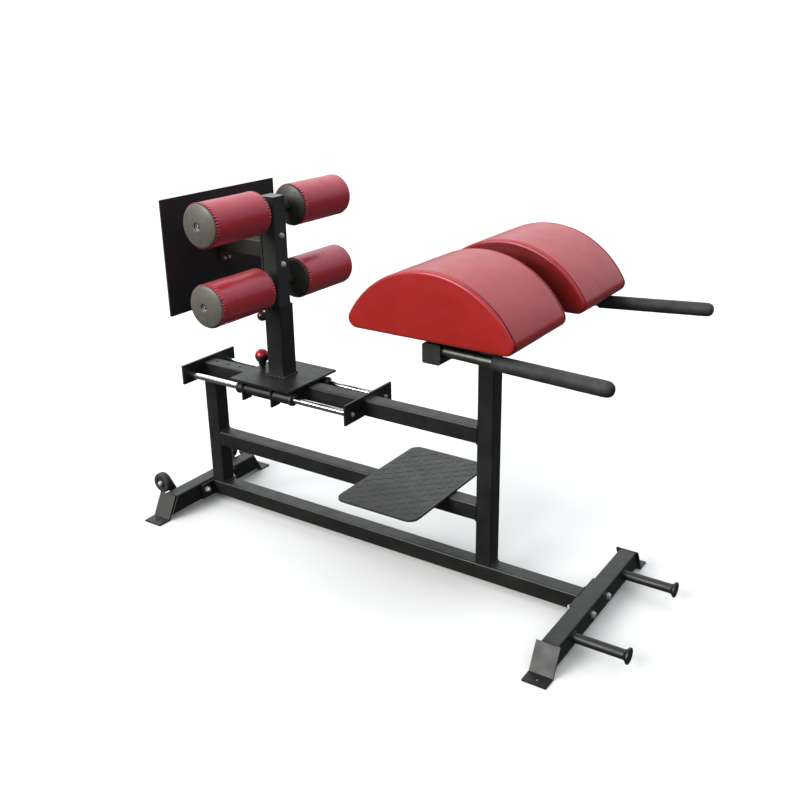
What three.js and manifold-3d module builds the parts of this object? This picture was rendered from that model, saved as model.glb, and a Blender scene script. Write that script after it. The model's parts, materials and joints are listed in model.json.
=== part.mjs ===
// Roman chair (glute-ham bench). A welded frame of square tube carries two thigh pads, two hand
// rails, a step plate and two guide rods. A carriage slides on the rods and holds a telescopic
// mast with a foot plate and four ankle rollers.
//
// Millimetres, +Z up, floor at z = 0. +X points from the foot plate to the hand rails, and the
// frame is symmetric about y = 0. "near" is the -Y side and "far" is the +Y side.

import * as THREE from 'three';
import { mergeVertices } from 'three/addons/utils/BufferGeometryUtils.js';
import Module from 'manifold-3d';

const wasm = await Module();
wasm.setup();

// ---------------------------------------------------------------- driving dimensions

const GAP = 0.3; // air between pieces that touch
const ROUND = 20; // facets round a small cylinder
const ROUND_HOLE = 12; // facets round a bolt, a pin or a hole
const ROUND_LARGE = 28; // facets round a roller or a wheel

const TUBE = 60; // side of the frame's square tube
const TUBE_WALL = 3;
const TUBE_CORNER = 6; // outside corner radius of the tube

const REAR_UPRIGHT_X = -817.5; // centre lines
const FRONT_UPRIGHT_X = 400.5;
const BOTTOM_RAIL_Z = 53;
const MID_RAIL_Z = 276;
const TOP_RAIL_Z = 559;
const BEAM_Z = 940;
const BEAM_HALF_LENGTH = 354;

const FOOT_TUBE_HEIGHT = 70;
const FOOT_TUBE_BOTTOM = 20;
const REAR_FOOT_X = -882.5;
const FRONT_FOOT_X = 790.5;
const FLANGE = { thickness: 8, halfWidth: 95, bottom: 22, top: 83 };
const STRAP = { width: 80, thickness: 6, run: 45.24, rise: 87, tab: 52, holeRadius: 6 };
const REAR_STRAP = { x: -898.5, bendY: 264 };
const FRONT_STRAP = { x: 786.5, bendY: 358 };
const REAR_BOLT = { y: 70, z: 58 };
const FRONT_BOLT = { y: 62, z: 55 };
const FOOT_BOLT_RADIUS = 6;
const BOLT_CLEARANCE = 0.5;

const HORN = { y: 208, z: 58, radius: 16, wall: 3, flareRadius: 26, endX: 1002.5 };

const WHEEL = { x: -962.5, y: 185, z: 107, radius: 40, width: 28 };
const WHEEL_AXLE_RADIUS = 5;
const WHEEL_BRACKET_THICKNESS = 6;

const STEP_PLATE = { fromX: -53.5, toX: 264.5, halfWidth: 250, thickness: 8, corner: 35 };

const ROD = { radius: 12, y: 99 };
const ROD_PLATE = { halfWidth: 138, bottom: 529, top: 603, thickness: 8 };
const REAR_ROD_PLATE_X = -847.5; // rear faces of the two rod plates
const FRONT_ROD_PLATE_X = -87.5;
const PIN_PITCH = 58; // spacing of the carriage's locking holes
const PIN_HOLE_COUNT = 9;
const PIN_HOLE_RADIUS = 6;

const CARRIAGE = { fromX: -604.5, toX: -328, halfWidth: 136, bottom: 594.5, thickness: 8 };
const CARRIAGE_PIN_X = -565.5;
const BUSH = { fromX: -596.5, toX: -334.5, radius: 21, clearance: 0.4 };
const HANGER = { xs: [-565, -429.5], halfWidth: 23, thickness: 7, bottom: 518 };

const MAST_X = -469.5;
const SLEEVE = { side: 75, wall: 5, top: 870 };
const MAST = { side: 64, wall: 4, bottom: 657, top: 1258, capThickness: 4 };
const MAST_PIN_Z = 811;
const MAST_HOLE_PITCH = 50;

const PIN_RADIUS = 5;
const PIN_STANDOFF = 0.8; // how far a released pin's tip stays outside its hole
const PIN_BARREL_RADIUS = 10;
const CARRIAGE_KNOB = { radius: 25, z: 656, barrelTop: 619 };
const MAST_KNOB = { radius: 18, reach: 83, barrelReach: 54 };

const ROLLER = { radius: 75, innerY: 76, outerY: 365, rimY: 15, lowZ: 945, highZ: 1211 };
const AXLE = { radius: 12.5, halfLength: 358 };
const FOOT_PLATE = { x: -717.5, thickness: 6, halfWidth: 285, bottom: 855, top: 1261 };
const ARM = { z: 1070, side: 60, wall: 3, flangeThickness: 8 };
const ARM_FLANGE = { halfWidth: 32, bottom: 1000, top: 1140 };
const MAST_BOLT = { zs: { lower: 1019, upper: 1121 }, radius: 5 };

const PAD = { x: 412, length: 548, innerY: 64, outerY: 396, bottom: 989, height: 202, corner: 28 };
const PAD_BRACKET = { fromX: 235, toX: 589, y: 262, width: 60, wall: 3 };
const PAD_GUSSET = { drop: 58, thickness: 6, endGap: 10, endDepth: 3 };

const HANDLE = { y: 330, z: 948, endX: 975.5, endY: 414, endZ: 966, radius: 16, wall: 2.5 };
const GRIP = { start: 180, radius: 22, boreClearance: 0.4, endWall: 16 };

const SIDES = [['near', -1], ['far', 1]];

// ---------------------------------------------------------------- materials

const finish = (color, roughness, metalness) =>
  new THREE.MeshStandardMaterial({ color, roughness, metalness });

const blackPaint = finish(0x23251f, 0.45, 0.3);
const treadPaint = finish(0x46484a, 0.6, 0.3);
const chrome = finish(0xe6e8ea, 0.12, 1.0);
const zinc = finish(0xb9bcbd, 0.35, 0.9);
const bareTube = finish(0x8f9088, 0.4, 0.8);
const redVinyl = finish(0xa0262c, 0.4, 0.0);
const gripFoam = finish(0x1f1f20, 0.85, 0.0);
const wheelRubber = finish(0x262624, 0.8, 0.0);
const blackPlastic = finish(0x1b1b1b, 0.5, 0.0);
const redKnob = finish(0xb01420, 0.2, 0.0);

// ---------------------------------------------------------------- solids

// A geometry as a manifold solid: shared vertices merged, collapsed triangles dropped.
function toSolid(geometry) {
  const bare = geometry.clone();
  bare.deleteAttribute('normal');
  bare.deleteAttribute('uv');
  const merged = mergeVertices(bare, 1e-3);
  const corners = merged.index.array;
  const kept = [];
  for (let i = 0; i < corners.length; i += 3) {
    const [a, b, c] = corners.slice(i, i + 3);
    if (a !== b && b !== c && c !== a) kept.push(a, b, c);
  }
  const vertProperties = new Float32Array(merged.attributes.position.array);
  const triVerts = new Uint32Array(kept);
  return new wasm.Manifold(new wasm.Mesh({ numProp: 3, vertProperties, triVerts }));
}

function toGeometry(solid) {
  const { vertProperties, triVerts } = solid.getMesh();
  const geometry = new THREE.BufferGeometry();
  geometry.setAttribute('position', new THREE.BufferAttribute(vertProperties, 3));
  geometry.setIndex(new THREE.BufferAttribute(triVerts, 1));
  geometry.computeVertexNormals();
  return geometry;
}

const join = (...parts) => toGeometry(parts.map(toSolid).reduce((a, b) => a.add(b)));
const cut = (body, ...tools) =>
  toGeometry(tools.map(toSolid).reduce((a, b) => a.subtract(b), toSolid(body)));
const clip = (body, tool) => toGeometry(toSolid(body).intersect(toSolid(tool)));

// A box between two corners.
function block(x0, x1, y0, y1, z0, z1) {
  const box = new THREE.BoxGeometry(x1 - x0, y1 - y0, z1 - z0);
  return box.translate((x0 + x1) / 2, (y0 + y1) / 2, (z0 + z1) / 2);
}

// Turns a geometry built along +Z so that it runs along the named axis.
const ALONG = {
  x: new THREE.Matrix4().set(0, 0, 1, 0, 1, 0, 0, 0, 0, 1, 0, 0, 0, 0, 0, 1),
  y: new THREE.Matrix4().set(0, 1, 0, 0, 0, 0, 1, 0, 1, 0, 0, 0, 0, 0, 0, 1),
  z: new THREE.Matrix4(),
};

// A shape extruded by length along an axis. Its own x and y become the next two axes in turn:
// (y, z) along x, (z, x) along y and (x, y) along z.
function prism(shape, axis, length, curveSegments = 6) {
  const options = { depth: length, bevelEnabled: false, curveSegments };
  return new THREE.ExtrudeGeometry(shape, options).applyMatrix4(ALONG[axis]);
}

// A solid cylinder that runs by length along an axis from the origin.
function cylinder(axis, radius, length, facets = ROUND) {
  const geometry = new THREE.CylinderGeometry(radius, radius, length, facets);
  return geometry.rotateX(Math.PI / 2).translate(0, 0, length / 2).applyMatrix4(ALONG[axis]);
}

// A solid of revolution about an axis, from (distance along, radius) pairs in either direction.
function turned(axis, profile, facets = ROUND) {
  const points = profile.map(([along, radius]) => new THREE.Vector2(radius, along));
  const revolve = (outline) => toSolid(
    new THREE.LatheGeometry(outline, facets).rotateX(Math.PI / 2).applyMatrix4(ALONG[axis]),
  );
  const solid = revolve(points);
  return toGeometry(solid.volume() > 0 ? solid : revolve(points.reverse()));
}

// (along, radius) pairs on a quarter ellipse, from its widest circle to the axis.
function domeProfile(centre, depth, radius, steps, lastAngle = Math.PI / 2) {
  return Array.from({ length: steps + 1 }, (_, i) => {
    const angle = (lastAngle * i) / steps;
    return [centre + depth * Math.sin(angle), radius * Math.max(Math.cos(angle), 0)];
  });
}

function roundedRectangle(width, height, radius) {
  const [x, y] = [width / 2, height / 2];
  const path = new THREE.Shape();
  path.moveTo(x - radius, -y);
  path.absarc(x - radius, radius - y, radius, -Math.PI / 2, 0);
  path.absarc(x - radius, y - radius, radius, 0, Math.PI / 2);
  path.absarc(radius - x, y - radius, radius, Math.PI / 2, Math.PI);
  path.absarc(radius - x, radius - y, radius, Math.PI, Math.PI * 1.5);
  path.closePath();
  return path;
}

// Rectangular tube, open at both ends, along an axis from the origin.
function tube(axis, length, width = TUBE, height = TUBE, wall = TUBE_WALL, corner = TUBE_CORNER) {
  const section = roundedRectangle(width, height, corner);
  const inside = [width - 2 * wall, height - 2 * wall];
  section.holes.push(rectangle(...inside));
  return prism(section, axis, length, 2);
}

function polygon(points) {
  return new THREE.Shape(points.map(([x, y]) => new THREE.Vector2(x, y)));
}

function rectangle(width, height) {
  const [x, y] = [width / 2, height / 2];
  return polygon([[-x, -y], [x, -y], [x, y], [-x, y]]);
}

function hexagon(acrossFlats) {
  const radius = acrossFlats / Math.sqrt(3);
  return polygon(Array.from({ length: 6 }, (_, i) => {
    const angle = (i * Math.PI) / 3;
    return [radius * Math.cos(angle), radius * Math.sin(angle)];
  }));
}

// A fitted bolt along an axis: head before the origin, then the grip, the nut and a thread tail.
function fittedBolt(axis, radius, grip, tail = 7) {
  const shift = new THREE.Vector3().setFromMatrixColumn(ALONG[axis], 2);
  const [headHeight, nutHeight] = [radius * 1.3, radius * 1.6];
  const move = (geometry, distance) => geometry.translate(...shift.clone().multiplyScalar(distance));
  const head = move(prism(hexagon(radius * 3.2), axis, headHeight), -headHeight);
  const shank = move(cylinder(axis, radius, grip + nutHeight + tail + 1, ROUND_HOLE), -1);
  const nut = move(prism(hexagon(radius * 3.2), axis, nutHeight), grip);
  return join(head, shank, nut);
}

// ---------------------------------------------------------------- scene graph

const chair = new THREE.Group();
const frame = new THREE.Group();
const carriage = new THREE.Group();
const mast = new THREE.Group();
chair.add(frame, carriage);
carriage.add(mast);

function place(group, name, geometry, material, x = 0, y = 0, z = 0) {
  const mesh = new THREE.Mesh(geometry, material);
  mesh.name = name;
  mesh.position.set(x, y, z);
  group.add(mesh);
  return mesh;
}

// ---------------------------------------------------------------- frame: rails and uprights

const HALF = TUBE / 2;
const rearFace = REAR_UPRIGHT_X - HALF;
const frontFace = FRONT_UPRIGHT_X - HALF;
const carriagePinHoles = Array.from(
  { length: PIN_HOLE_COUNT },
  (_, i) => CARRIAGE_PIN_X + (i - (PIN_HOLE_COUNT - 1) / 2) * PIN_PITCH,
);

function rail(name, fromX, toX, z) {
  return place(frame, name, tube('x', toX - fromX), blackPaint, fromX, 0, z);
}

function upright(name, x, fromZ, toZ) {
  return place(frame, name, tube('z', toZ - fromZ), blackPaint, x, 0, fromZ);
}

function addRails() {
  const rearFlangeFront = REAR_FOOT_X + HALF + FLANGE.thickness;
  const frontFlangeRear = FRONT_FOOT_X - HALF - FLANGE.thickness;
  rail('bottom_rail', rearFlangeFront + GAP, frontFlangeRear - GAP, BOTTOM_RAIL_Z);
  rail('mid_rail', REAR_UPRIGHT_X + HALF + GAP, frontFace - GAP, MID_RAIL_Z);

  const fromX = REAR_ROD_PLATE_X + ROD_PLATE.thickness + GAP;
  const topRail = rail('top_rail', fromX, frontFace - GAP, TOP_RAIL_Z);
  const holes = carriagePinHoles.map((x) =>
    cylinder('z', PIN_HOLE_RADIUS, TUBE, ROUND_HOLE).translate(x - fromX, 0, 0));
  topRail.geometry = cut(topRail.geometry, ...holes);
}

function addUprights() {
  const foot = BOTTOM_RAIL_Z + HALF + GAP;
  upright('rear_upright', REAR_UPRIGHT_X, foot, TOP_RAIL_Z - HALF - GAP);
  upright('front_upright', FRONT_UPRIGHT_X, foot, BEAM_Z - HALF - GAP);
}

// ---------------------------------------------------------------- frame: feet

const footSlope = STRAP.run / STRAP.rise;

// A bent strap that closes a foot tube's sloping end and lies on the floor as a drilled tab.
function footStrap(bendY) {
  const { thickness, run, rise, tab, width, holeRadius } = STRAP;
  const length = Math.hypot(run, rise);
  const normal = [rise / length, run / length];
  const outerAtTab = (thickness - normal[1] * thickness) * footSlope;
  const profile = polygon([
    [bendY, 0],
    [bendY + tab, 0],
    [bendY + tab, thickness],
    [bendY + normal[0] * thickness - outerAtTab, thickness],
    [bendY - run + normal[0] * thickness, rise + normal[1] * thickness],
    [bendY - run, rise],
  ]);
  const strap = prism(profile, 'x', width).translate(-width / 2, 0, 0);
  const hole = cylinder('z', holeRadius, 3 * thickness, ROUND_HOLE);
  return cut(strap, hole.translate(0, bendY + tab / 2 + 2, -thickness));
}

// A foot tube across the machine, with both ends cut parallel to its straps.
function footTube(bendY, boltY, boltZ) {
  const bottom = FOOT_TUBE_BOTTOM;
  const top = bottom + FOOT_TUBE_HEIGHT;
  const endY = (z) => bendY - footSlope * z - 2 * GAP;
  const body = tube('y', 2 * bendY, FOOT_TUBE_HEIGHT, TUBE);
  body.translate(0, -bendY, bottom + FOOT_TUBE_HEIGHT / 2);
  const outline = polygon([
    [-endY(bottom - 1), bottom - 1],
    [endY(bottom - 1), bottom - 1],
    [endY(top + 1), top + 1],
    [-endY(top + 1), top + 1],
  ]);
  const mitred = clip(body, prism(outline, 'x', TUBE + 2).translate(-HALF - 1, 0, 0));
  return cut(mitred, ...boltHoles(TUBE, boltY, boltZ));
}

function boltHoles(depth, boltY, boltZ) {
  return SIDES.map(([, side]) =>
    cylinder('x', FOOT_BOLT_RADIUS + BOLT_CLEARANCE, depth + 2, ROUND_HOLE)
      .translate(-depth / 2 - 1, side * boltY, boltZ));
}

function railFlange(bolt) {
  const { thickness, halfWidth, bottom, top } = FLANGE;
  const plate = block(-thickness / 2, thickness / 2, -halfWidth, halfWidth, bottom, top);
  return cut(plate, ...boltHoles(thickness, bolt.y, bolt.z));
}

// end is -1 for the rear foot and +1 for the front foot.
function addFoot(label, end, footX, strap, bolt) {
  place(frame, `${label}_foot_tube`, footTube(strap.bendY, bolt.y, bolt.z), blackPaint, footX);
  const flangeX = footX - end * (HALF + GAP + (FLANGE.thickness - GAP) / 2);
  const flange = railFlange(bolt).scale(1 - GAP / FLANGE.thickness, 1, 1);
  place(frame, `${label}_rail_flange`, flange, blackPaint, flangeX);

  const grip = TUBE + FLANGE.thickness + 2 * GAP;
  for (const [sideName, side] of SIDES) {
    const strapMesh = place(frame, `${label}_foot_strap_${sideName}`,
      footStrap(strap.bendY), blackPaint, strap.x);
    strapMesh.rotation.z = side < 0 ? Math.PI : 0;
    const boltMesh = place(frame, `${label}_foot_bolt_${sideName}`,
      fittedBolt('x', FOOT_BOLT_RADIUS, grip), zinc,
      footX + end * (HALF + GAP), side * bolt.y, bolt.z);
    boltMesh.rotation.z = end > 0 ? Math.PI : 0;
  }
}

// Weight-plate storage horn: a tube with a flared, closed end.
function storageHorn(length) {
  const { radius, wall, flareRadius } = HORN;
  return turned('x', [
    [0, radius],
    [0, radius - wall],
    [length - 10, radius - wall],
    [length - 10, 0],
    [length, 0],
    [length, flareRadius],
    [length - 4, flareRadius],
    [length - 20, radius + 2],
    [length - 26, radius],
    [0, radius],
  ]);
}

function addStorageHorns() {
  const fromX = FRONT_FOOT_X + HALF + GAP;
  for (const [sideName, side] of SIDES) {
    place(frame, `storage_horn_${sideName}`, storageHorn(HORN.endX - fromX), blackPaint,
      fromX, side * HORN.y, HORN.z);
  }
}

// ---------------------------------------------------------------- transport wheels

function wheel() {
  const { radius, width } = WHEEL;
  const bore = WHEEL_AXLE_RADIUS + GAP;
  const half = width / 2;
  return turned('y', [
    [-half, bore],
    [half, bore],
    [half, radius - 4],
    [half - 5, radius],
    [5 - half, radius],
    [-half, radius - 4],
    [-half, bore],
  ], ROUND_LARGE);
}

// Teardrop plate from the rear foot tube's back face to the axle, in the axle's own frame.
function wheelBracket() {
  const tubeX = REAR_FOOT_X - HALF - GAP - WHEEL.x;
  const ear = 24;
  const plate = new THREE.Shape();
  const [footLow, footHigh] = [FOOT_TUBE_BOTTOM + 6 - WHEEL.z, FOOT_TUBE_BOTTOM + 66 - WHEEL.z];
  plate.moveTo(footLow, tubeX);
  plate.lineTo(footHigh, tubeX);
  plate.absarc(0, 0, ear, Math.PI * 0.27, -Math.PI * 0.75, true);
  plate.closePath();
  const thickness = WHEEL_BRACKET_THICKNESS;
  const solid = prism(plate, 'y', thickness, 12).translate(0, -thickness / 2, 0);
  const hole = cylinder('y', WHEEL_AXLE_RADIUS + GAP, thickness + 2, ROUND_HOLE);
  return cut(solid, hole.translate(0, -thickness / 2 - 1, 0));
}

function addWheels() {
  const bracketInset = (WHEEL.width + WHEEL_BRACKET_THICKNESS) / 2 + 1.5;
  const grip = WHEEL.width + WHEEL_BRACKET_THICKNESS + 2.5;
  for (const [sideName, side] of SIDES) {
    place(frame, `wheel_${sideName}`, wheel(), wheelRubber, WHEEL.x, side * WHEEL.y, WHEEL.z);
    place(frame, `wheel_bracket_${sideName}`, wheelBracket(), blackPaint,
      WHEEL.x, side * (WHEEL.y - bracketInset), WHEEL.z);
    const bolt = place(frame, `wheel_bolt_${sideName}`,
      fittedBolt('y', WHEEL_AXLE_RADIUS, grip, 4), zinc,
      WHEEL.x, side * (WHEEL.y + WHEEL.width / 2 + 0.5), WHEEL.z);
    bolt.rotation.z = side > 0 ? Math.PI : 0;
  }
}

// ---------------------------------------------------------------- frame: plates and rods

function addStepPlate() {
  const { fromX, toX, halfWidth, thickness, corner } = STEP_PLATE;
  const outline = roundedRectangle(toX - fromX, 2 * halfWidth, corner);
  place(frame, 'step_plate', prism(outline, 'z', thickness, 6), treadPaint,
    (fromX + toX) / 2, 0, MID_RAIL_Z + HALF + GAP);
}

function rodPlate() {
  const { thickness, halfWidth, bottom, top } = ROD_PLATE;
  return block(0, thickness, -halfWidth, halfWidth, bottom, top);
}

function addRodsAndPlates() {
  place(frame, 'rear_rod_plate', rodPlate(), blackPaint, REAR_ROD_PLATE_X);
  const { thickness, bottom } = ROD_PLATE;
  const notchHalf = HALF + GAP;
  const notch = block(-1, thickness + 1, -notchHalf, notchHalf, bottom - 1, TOP_RAIL_Z + notchHalf);
  place(frame, 'front_rod_plate', cut(rodPlate(), notch), blackPaint, FRONT_ROD_PLATE_X);

  const fromX = REAR_ROD_PLATE_X + thickness + GAP;
  const rodLength = FRONT_ROD_PLATE_X - GAP - fromX;
  for (const [sideName, side] of SIDES) {
    place(frame, `guide_rod_${sideName}`, cylinder('x', ROD.radius, rodLength), chrome,
      fromX, side * ROD.y, TOP_RAIL_Z);
  }
}

// ---------------------------------------------------------------- frame: pad beam, pads, rails

function beamCap() {
  const plate = 3;
  const plugSide = TUBE - 2 * TUBE_WALL - 1;
  const head = prism(roundedRectangle(TUBE, TUBE, TUBE_CORNER), 'y', plate, 2);
  const plug = prism(rectangle(plugSide, plugSide), 'y', 13).translate(0, -12, 0);
  return join(head, plug);
}

function addPadBeam() {
  const tubeHalf = BEAM_HALF_LENGTH - 3 - GAP;
  place(frame, 'pad_beam', tube('y', 2 * tubeHalf), blackPaint, FRONT_UPRIGHT_X, -tubeHalf, BEAM_Z);
  for (const [sideName, side] of SIDES) {
    const cap = place(frame, `beam_cap_${sideName}`, beamCap(), blackPlastic,
      FRONT_UPRIGHT_X, side * (BEAM_HALF_LENGTH - 3), BEAM_Z);
    cap.rotation.z = side < 0 ? Math.PI : 0;
  }
}

// Half-moon pad: a circular crown over a flat base, with rounded lower corners.
function thighPad() {
  const { length, height, corner, innerY, outerY } = PAD;
  // The crown circle has its top at the pad's height and touches each corner circle from outside.
  const cornerX = length / 2 - corner;
  const crown = (cornerX ** 2 + (height - corner) ** 2 - corner ** 2) / (2 * (height - 2 * corner));
  const centreZ = height - crown;
  const touch = Math.atan2(corner - centreZ, cornerX);
  const outline = new THREE.Shape();
  outline.moveTo(-cornerX, 0);
  outline.lineTo(cornerX, 0);
  outline.absarc(cornerX, corner, corner, -Math.PI / 2, touch);
  outline.absarc(0, centreZ, crown, touch, Math.PI - touch);
  outline.absarc(-cornerX, corner, corner, Math.PI - touch, Math.PI * 1.5);
  outline.closePath();
  const options = { depth: outerY - innerY, bevelEnabled: false, curveSegments: 12 };
  return new THREE.ExtrudeGeometry(outline, options).rotateX(Math.PI / 2);
}

// A flat tube across the beam, with a gusset plate against the beam's front face.
function padBracket(height, outwards) {
  const { fromX, toX, width, wall } = PAD_BRACKET;
  const { drop, thickness, endGap, endDepth } = PAD_GUSSET;
  const frontX = FRONT_UPRIGHT_X + HALF + GAP - fromX;
  const endX = toX - fromX - endGap;
  const underside = -height / 2;
  const outline = polygon([
    [underside + 1, frontX],
    [underside + 1, endX],
    [underside - endDepth, endX],
    [underside - drop, frontX],
  ]);
  const outerY = outwards < 0 ? -width / 2 : width / 2 - thickness;
  return join(
    tube('x', toX - fromX, width, height, wall, 4),
    prism(outline, 'y', thickness).translate(0, outerY, 0),
  );
}

function addPads() {
  const bracketHeight = PAD.bottom - BEAM_Z - HALF - 2 * GAP;
  const bracketZ = BEAM_Z + HALF + GAP + bracketHeight / 2;
  for (const [sideName, side] of SIDES) {
    place(frame, `thigh_pad_${sideName}`, thighPad(), redVinyl,
      PAD.x, side < 0 ? -PAD.innerY : PAD.outerY, PAD.bottom);
    place(frame, `pad_bracket_${sideName}`, padBracket(bracketHeight, side), blackPaint,
      PAD_BRACKET.fromX, side * PAD_BRACKET.y, bracketZ);
  }
}

// The hand rail's own frame: +X along the bar, which leaves the beam's front face.
function handleFrame(side) {
  const start = new THREE.Vector3(FRONT_UPRIGHT_X + HALF, side * HANDLE.y, HANDLE.z);
  const end = new THREE.Vector3(HANDLE.endX, side * HANDLE.endY, HANDLE.endZ);
  const along = end.clone().sub(start);
  const turn = new THREE.Quaternion();
  turn.setFromUnitVectors(new THREE.Vector3(1, 0, 0), along.clone().normalize());
  return { start, turn, length: along.length() };
}

function handleBar(start, turn, length) {
  const { radius, wall } = HANDLE;
  const run = length - GRIP.endWall - 4;
  const overlap = 20;
  const bar = cut(
    cylinder('x', radius, run + overlap).translate(-overlap, 0, 0),
    cylinder('x', radius - wall, run + overlap + 2).translate(-overlap - 1, 0, 0),
  );
  const beam = block(-100, GAP, -100, 100, -100, 100);
  return cut(bar, beam.applyQuaternion(turn.clone().invert()));
}

function handleGrip(length) {
  const { start, radius, boreClearance, endWall } = GRIP;
  const bore = HANDLE.radius + boreClearance;
  const dome = domeProfile(length - 14, 14, radius, 6);
  return turned('x', [
    [length - endWall, 0],
    [length - endWall, bore],
    [start, bore],
    [start, radius - 1.5],
    [start + 3, radius],
    ...dome,
  ]);
}

function addHandles() {
  for (const [sideName, side] of SIDES) {
    const { start, turn, length } = handleFrame(side);
    const bar = place(frame, `handle_bar_${sideName}`, handleBar(start, turn, length), bareTube,
      ...start);
    const grip = place(frame, `handle_grip_${sideName}`, handleGrip(length), gripFoam, ...start);
    bar.quaternion.copy(turn);
    grip.quaternion.copy(turn);
  }
}

// ---------------------------------------------------------------- carriage

const carriageTop = CARRIAGE.bottom + CARRIAGE.thickness;

// The carriage's top plate with the welded barrel of its locking pin.
function carriagePlate() {
  const { fromX, toX, halfWidth, bottom } = CARRIAGE;
  const plate = block(fromX, toX, -halfWidth, halfWidth, bottom, carriageTop);
  const barrel = cylinder('z', PIN_BARREL_RADIUS, CARRIAGE_KNOB.barrelTop - bottom - 1);
  const hole = cylinder('z', PIN_RADIUS + BOLT_CLEARANCE, CARRIAGE_KNOB.barrelTop, ROUND_HOLE);
  return cut(
    join(plate, barrel.translate(CARRIAGE_PIN_X, 0, bottom + 1)),
    hole.translate(CARRIAGE_PIN_X, 0, bottom - 1),
  );
}

// A bush tube that runs on a guide rod, hung from the top plate by two welded hangers.
function slideBush() {
  const { fromX, toX, radius, clearance } = BUSH;
  const length = toX - fromX;
  const parts = HANGER.xs.map((x) => block(
    x, x + HANGER.thickness, -HANGER.halfWidth, HANGER.halfWidth,
    HANGER.bottom - TOP_RAIL_Z, CARRIAGE.bottom - GAP - TOP_RAIL_Z,
  ));
  const bore = cylinder('x', ROD.radius + clearance, length + 2).translate(fromX - 1, 0, 0);
  return cut(join(cylinder('x', radius, length).translate(fromX, 0, 0), ...parts), bore);
}

// The outer tube of the mast with the welded barrel of the height pin on its rear wall.
function mastSleeve() {
  const { side, wall, top } = SLEEVE;
  const foot = carriageTop + GAP;
  const body = tube('z', top - foot, side, side, wall, 7).translate(0, 0, foot);
  const rearWall = -side / 2;
  const barrelLength = MAST_KNOB.barrelReach + rearWall + 1;
  const barrel = cylinder('x', PIN_BARREL_RADIUS, barrelLength);
  const hole = cylinder('x', PIN_RADIUS + BOLT_CLEARANCE, barrelLength + wall + 2, ROUND_HOLE);
  return cut(
    join(body, barrel.translate(-MAST_KNOB.barrelReach, 0, MAST_PIN_Z)),
    hole.translate(-MAST_KNOB.barrelReach - 1, 0, MAST_PIN_Z),
  );
}

// Pull pin: shaft with its tip at the origin, and a ball knob at a distance along +Z.
function pullPin(axis, knobDistance, knobRadius) {
  const steps = 6;
  const neck = Math.asin((PIN_RADIUS + 2) / knobRadius);
  const ball = Array.from({ length: steps + 1 }, (_, i) => {
    const angle = Math.PI - neck - ((Math.PI - neck) * i) / steps;
    return [knobDistance + knobRadius * Math.cos(angle), knobRadius * Math.sin(angle)];
  });
  ball[steps][1] = 0;
  return turned(axis, [[0, 0], [0, PIN_RADIUS - 1], [1, PIN_RADIUS],
    [ball[0][0], PIN_RADIUS], ...ball]);
}

function addCarriage() {
  place(carriage, 'carriage_plate', carriagePlate(), blackPaint);
  for (const [sideName, side] of SIDES) {
    place(carriage, `slide_bush_${sideName}`, slideBush(), blackPaint, 0, side * ROD.y, TOP_RAIL_Z);
  }
  place(carriage, 'mast_sleeve', mastSleeve(), blackPaint, MAST_X);

  const tipZ = TOP_RAIL_Z + HALF + PIN_STANDOFF;
  place(carriage, 'carriage_pin', pullPin('z', CARRIAGE_KNOB.z - tipZ, CARRIAGE_KNOB.radius),
    redKnob, CARRIAGE_PIN_X, 0, tipZ);
  const tipX = MAST.side / 2 + PIN_STANDOFF;
  const mastPin = place(carriage, 'mast_pin', pullPin('x', MAST_KNOB.reach - tipX, MAST_KNOB.radius),
    redKnob, MAST_X - tipX, 0, MAST_PIN_Z);
  mastPin.rotation.z = Math.PI;
}

// ---------------------------------------------------------------- mast

// The sliding inner tube, drilled for the height pin, the two roller axles and the arm's bolts.
function mastTube() {
  const { side, wall, bottom, top, capThickness } = MAST;
  const body = tube('z', top - capThickness - GAP - bottom, side, side, wall, 6);
  body.translate(0, 0, bottom);
  const pinHole = cylinder('x', PIN_HOLE_RADIUS, side / 2 + 2, ROUND_HOLE).translate(-side / 2 - 2, 0, 0);
  const boltHole = cylinder('x', MAST_BOLT.radius + BOLT_CLEARANCE, side + 4, ROUND_HOLE);
  const axleHole = cylinder('y', AXLE.radius + GAP, side + 4).translate(0, -side / 2 - 2, 0);
  boltHole.translate(-side / 2 - 2, 0, 0);
  const pinHoles = [-2, -1, 0, 1].map((step) =>
    pinHole.clone().translate(0, 0, MAST_PIN_Z + step * MAST_HOLE_PITCH));
  const boltHoles = Object.values(MAST_BOLT.zs).map((z) => boltHole.clone().translate(0, 0, z));
  const axleHoles = [ROLLER.lowZ, ROLLER.highZ].map((z) => axleHole.clone().translate(0, 0, z));
  return cut(body, ...pinHoles, ...boltHoles, ...axleHoles);
}

function mastCap() {
  const { side, wall, capThickness } = MAST;
  const plugSide = side - 2 * wall - 1;
  const head = prism(roundedRectangle(side, side, 6), 'z', capThickness, 2);
  const plug = prism(rectangle(plugSide, plugSide), 'z', 13).translate(0, 0, -12);
  return join(head, plug);
}

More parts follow.
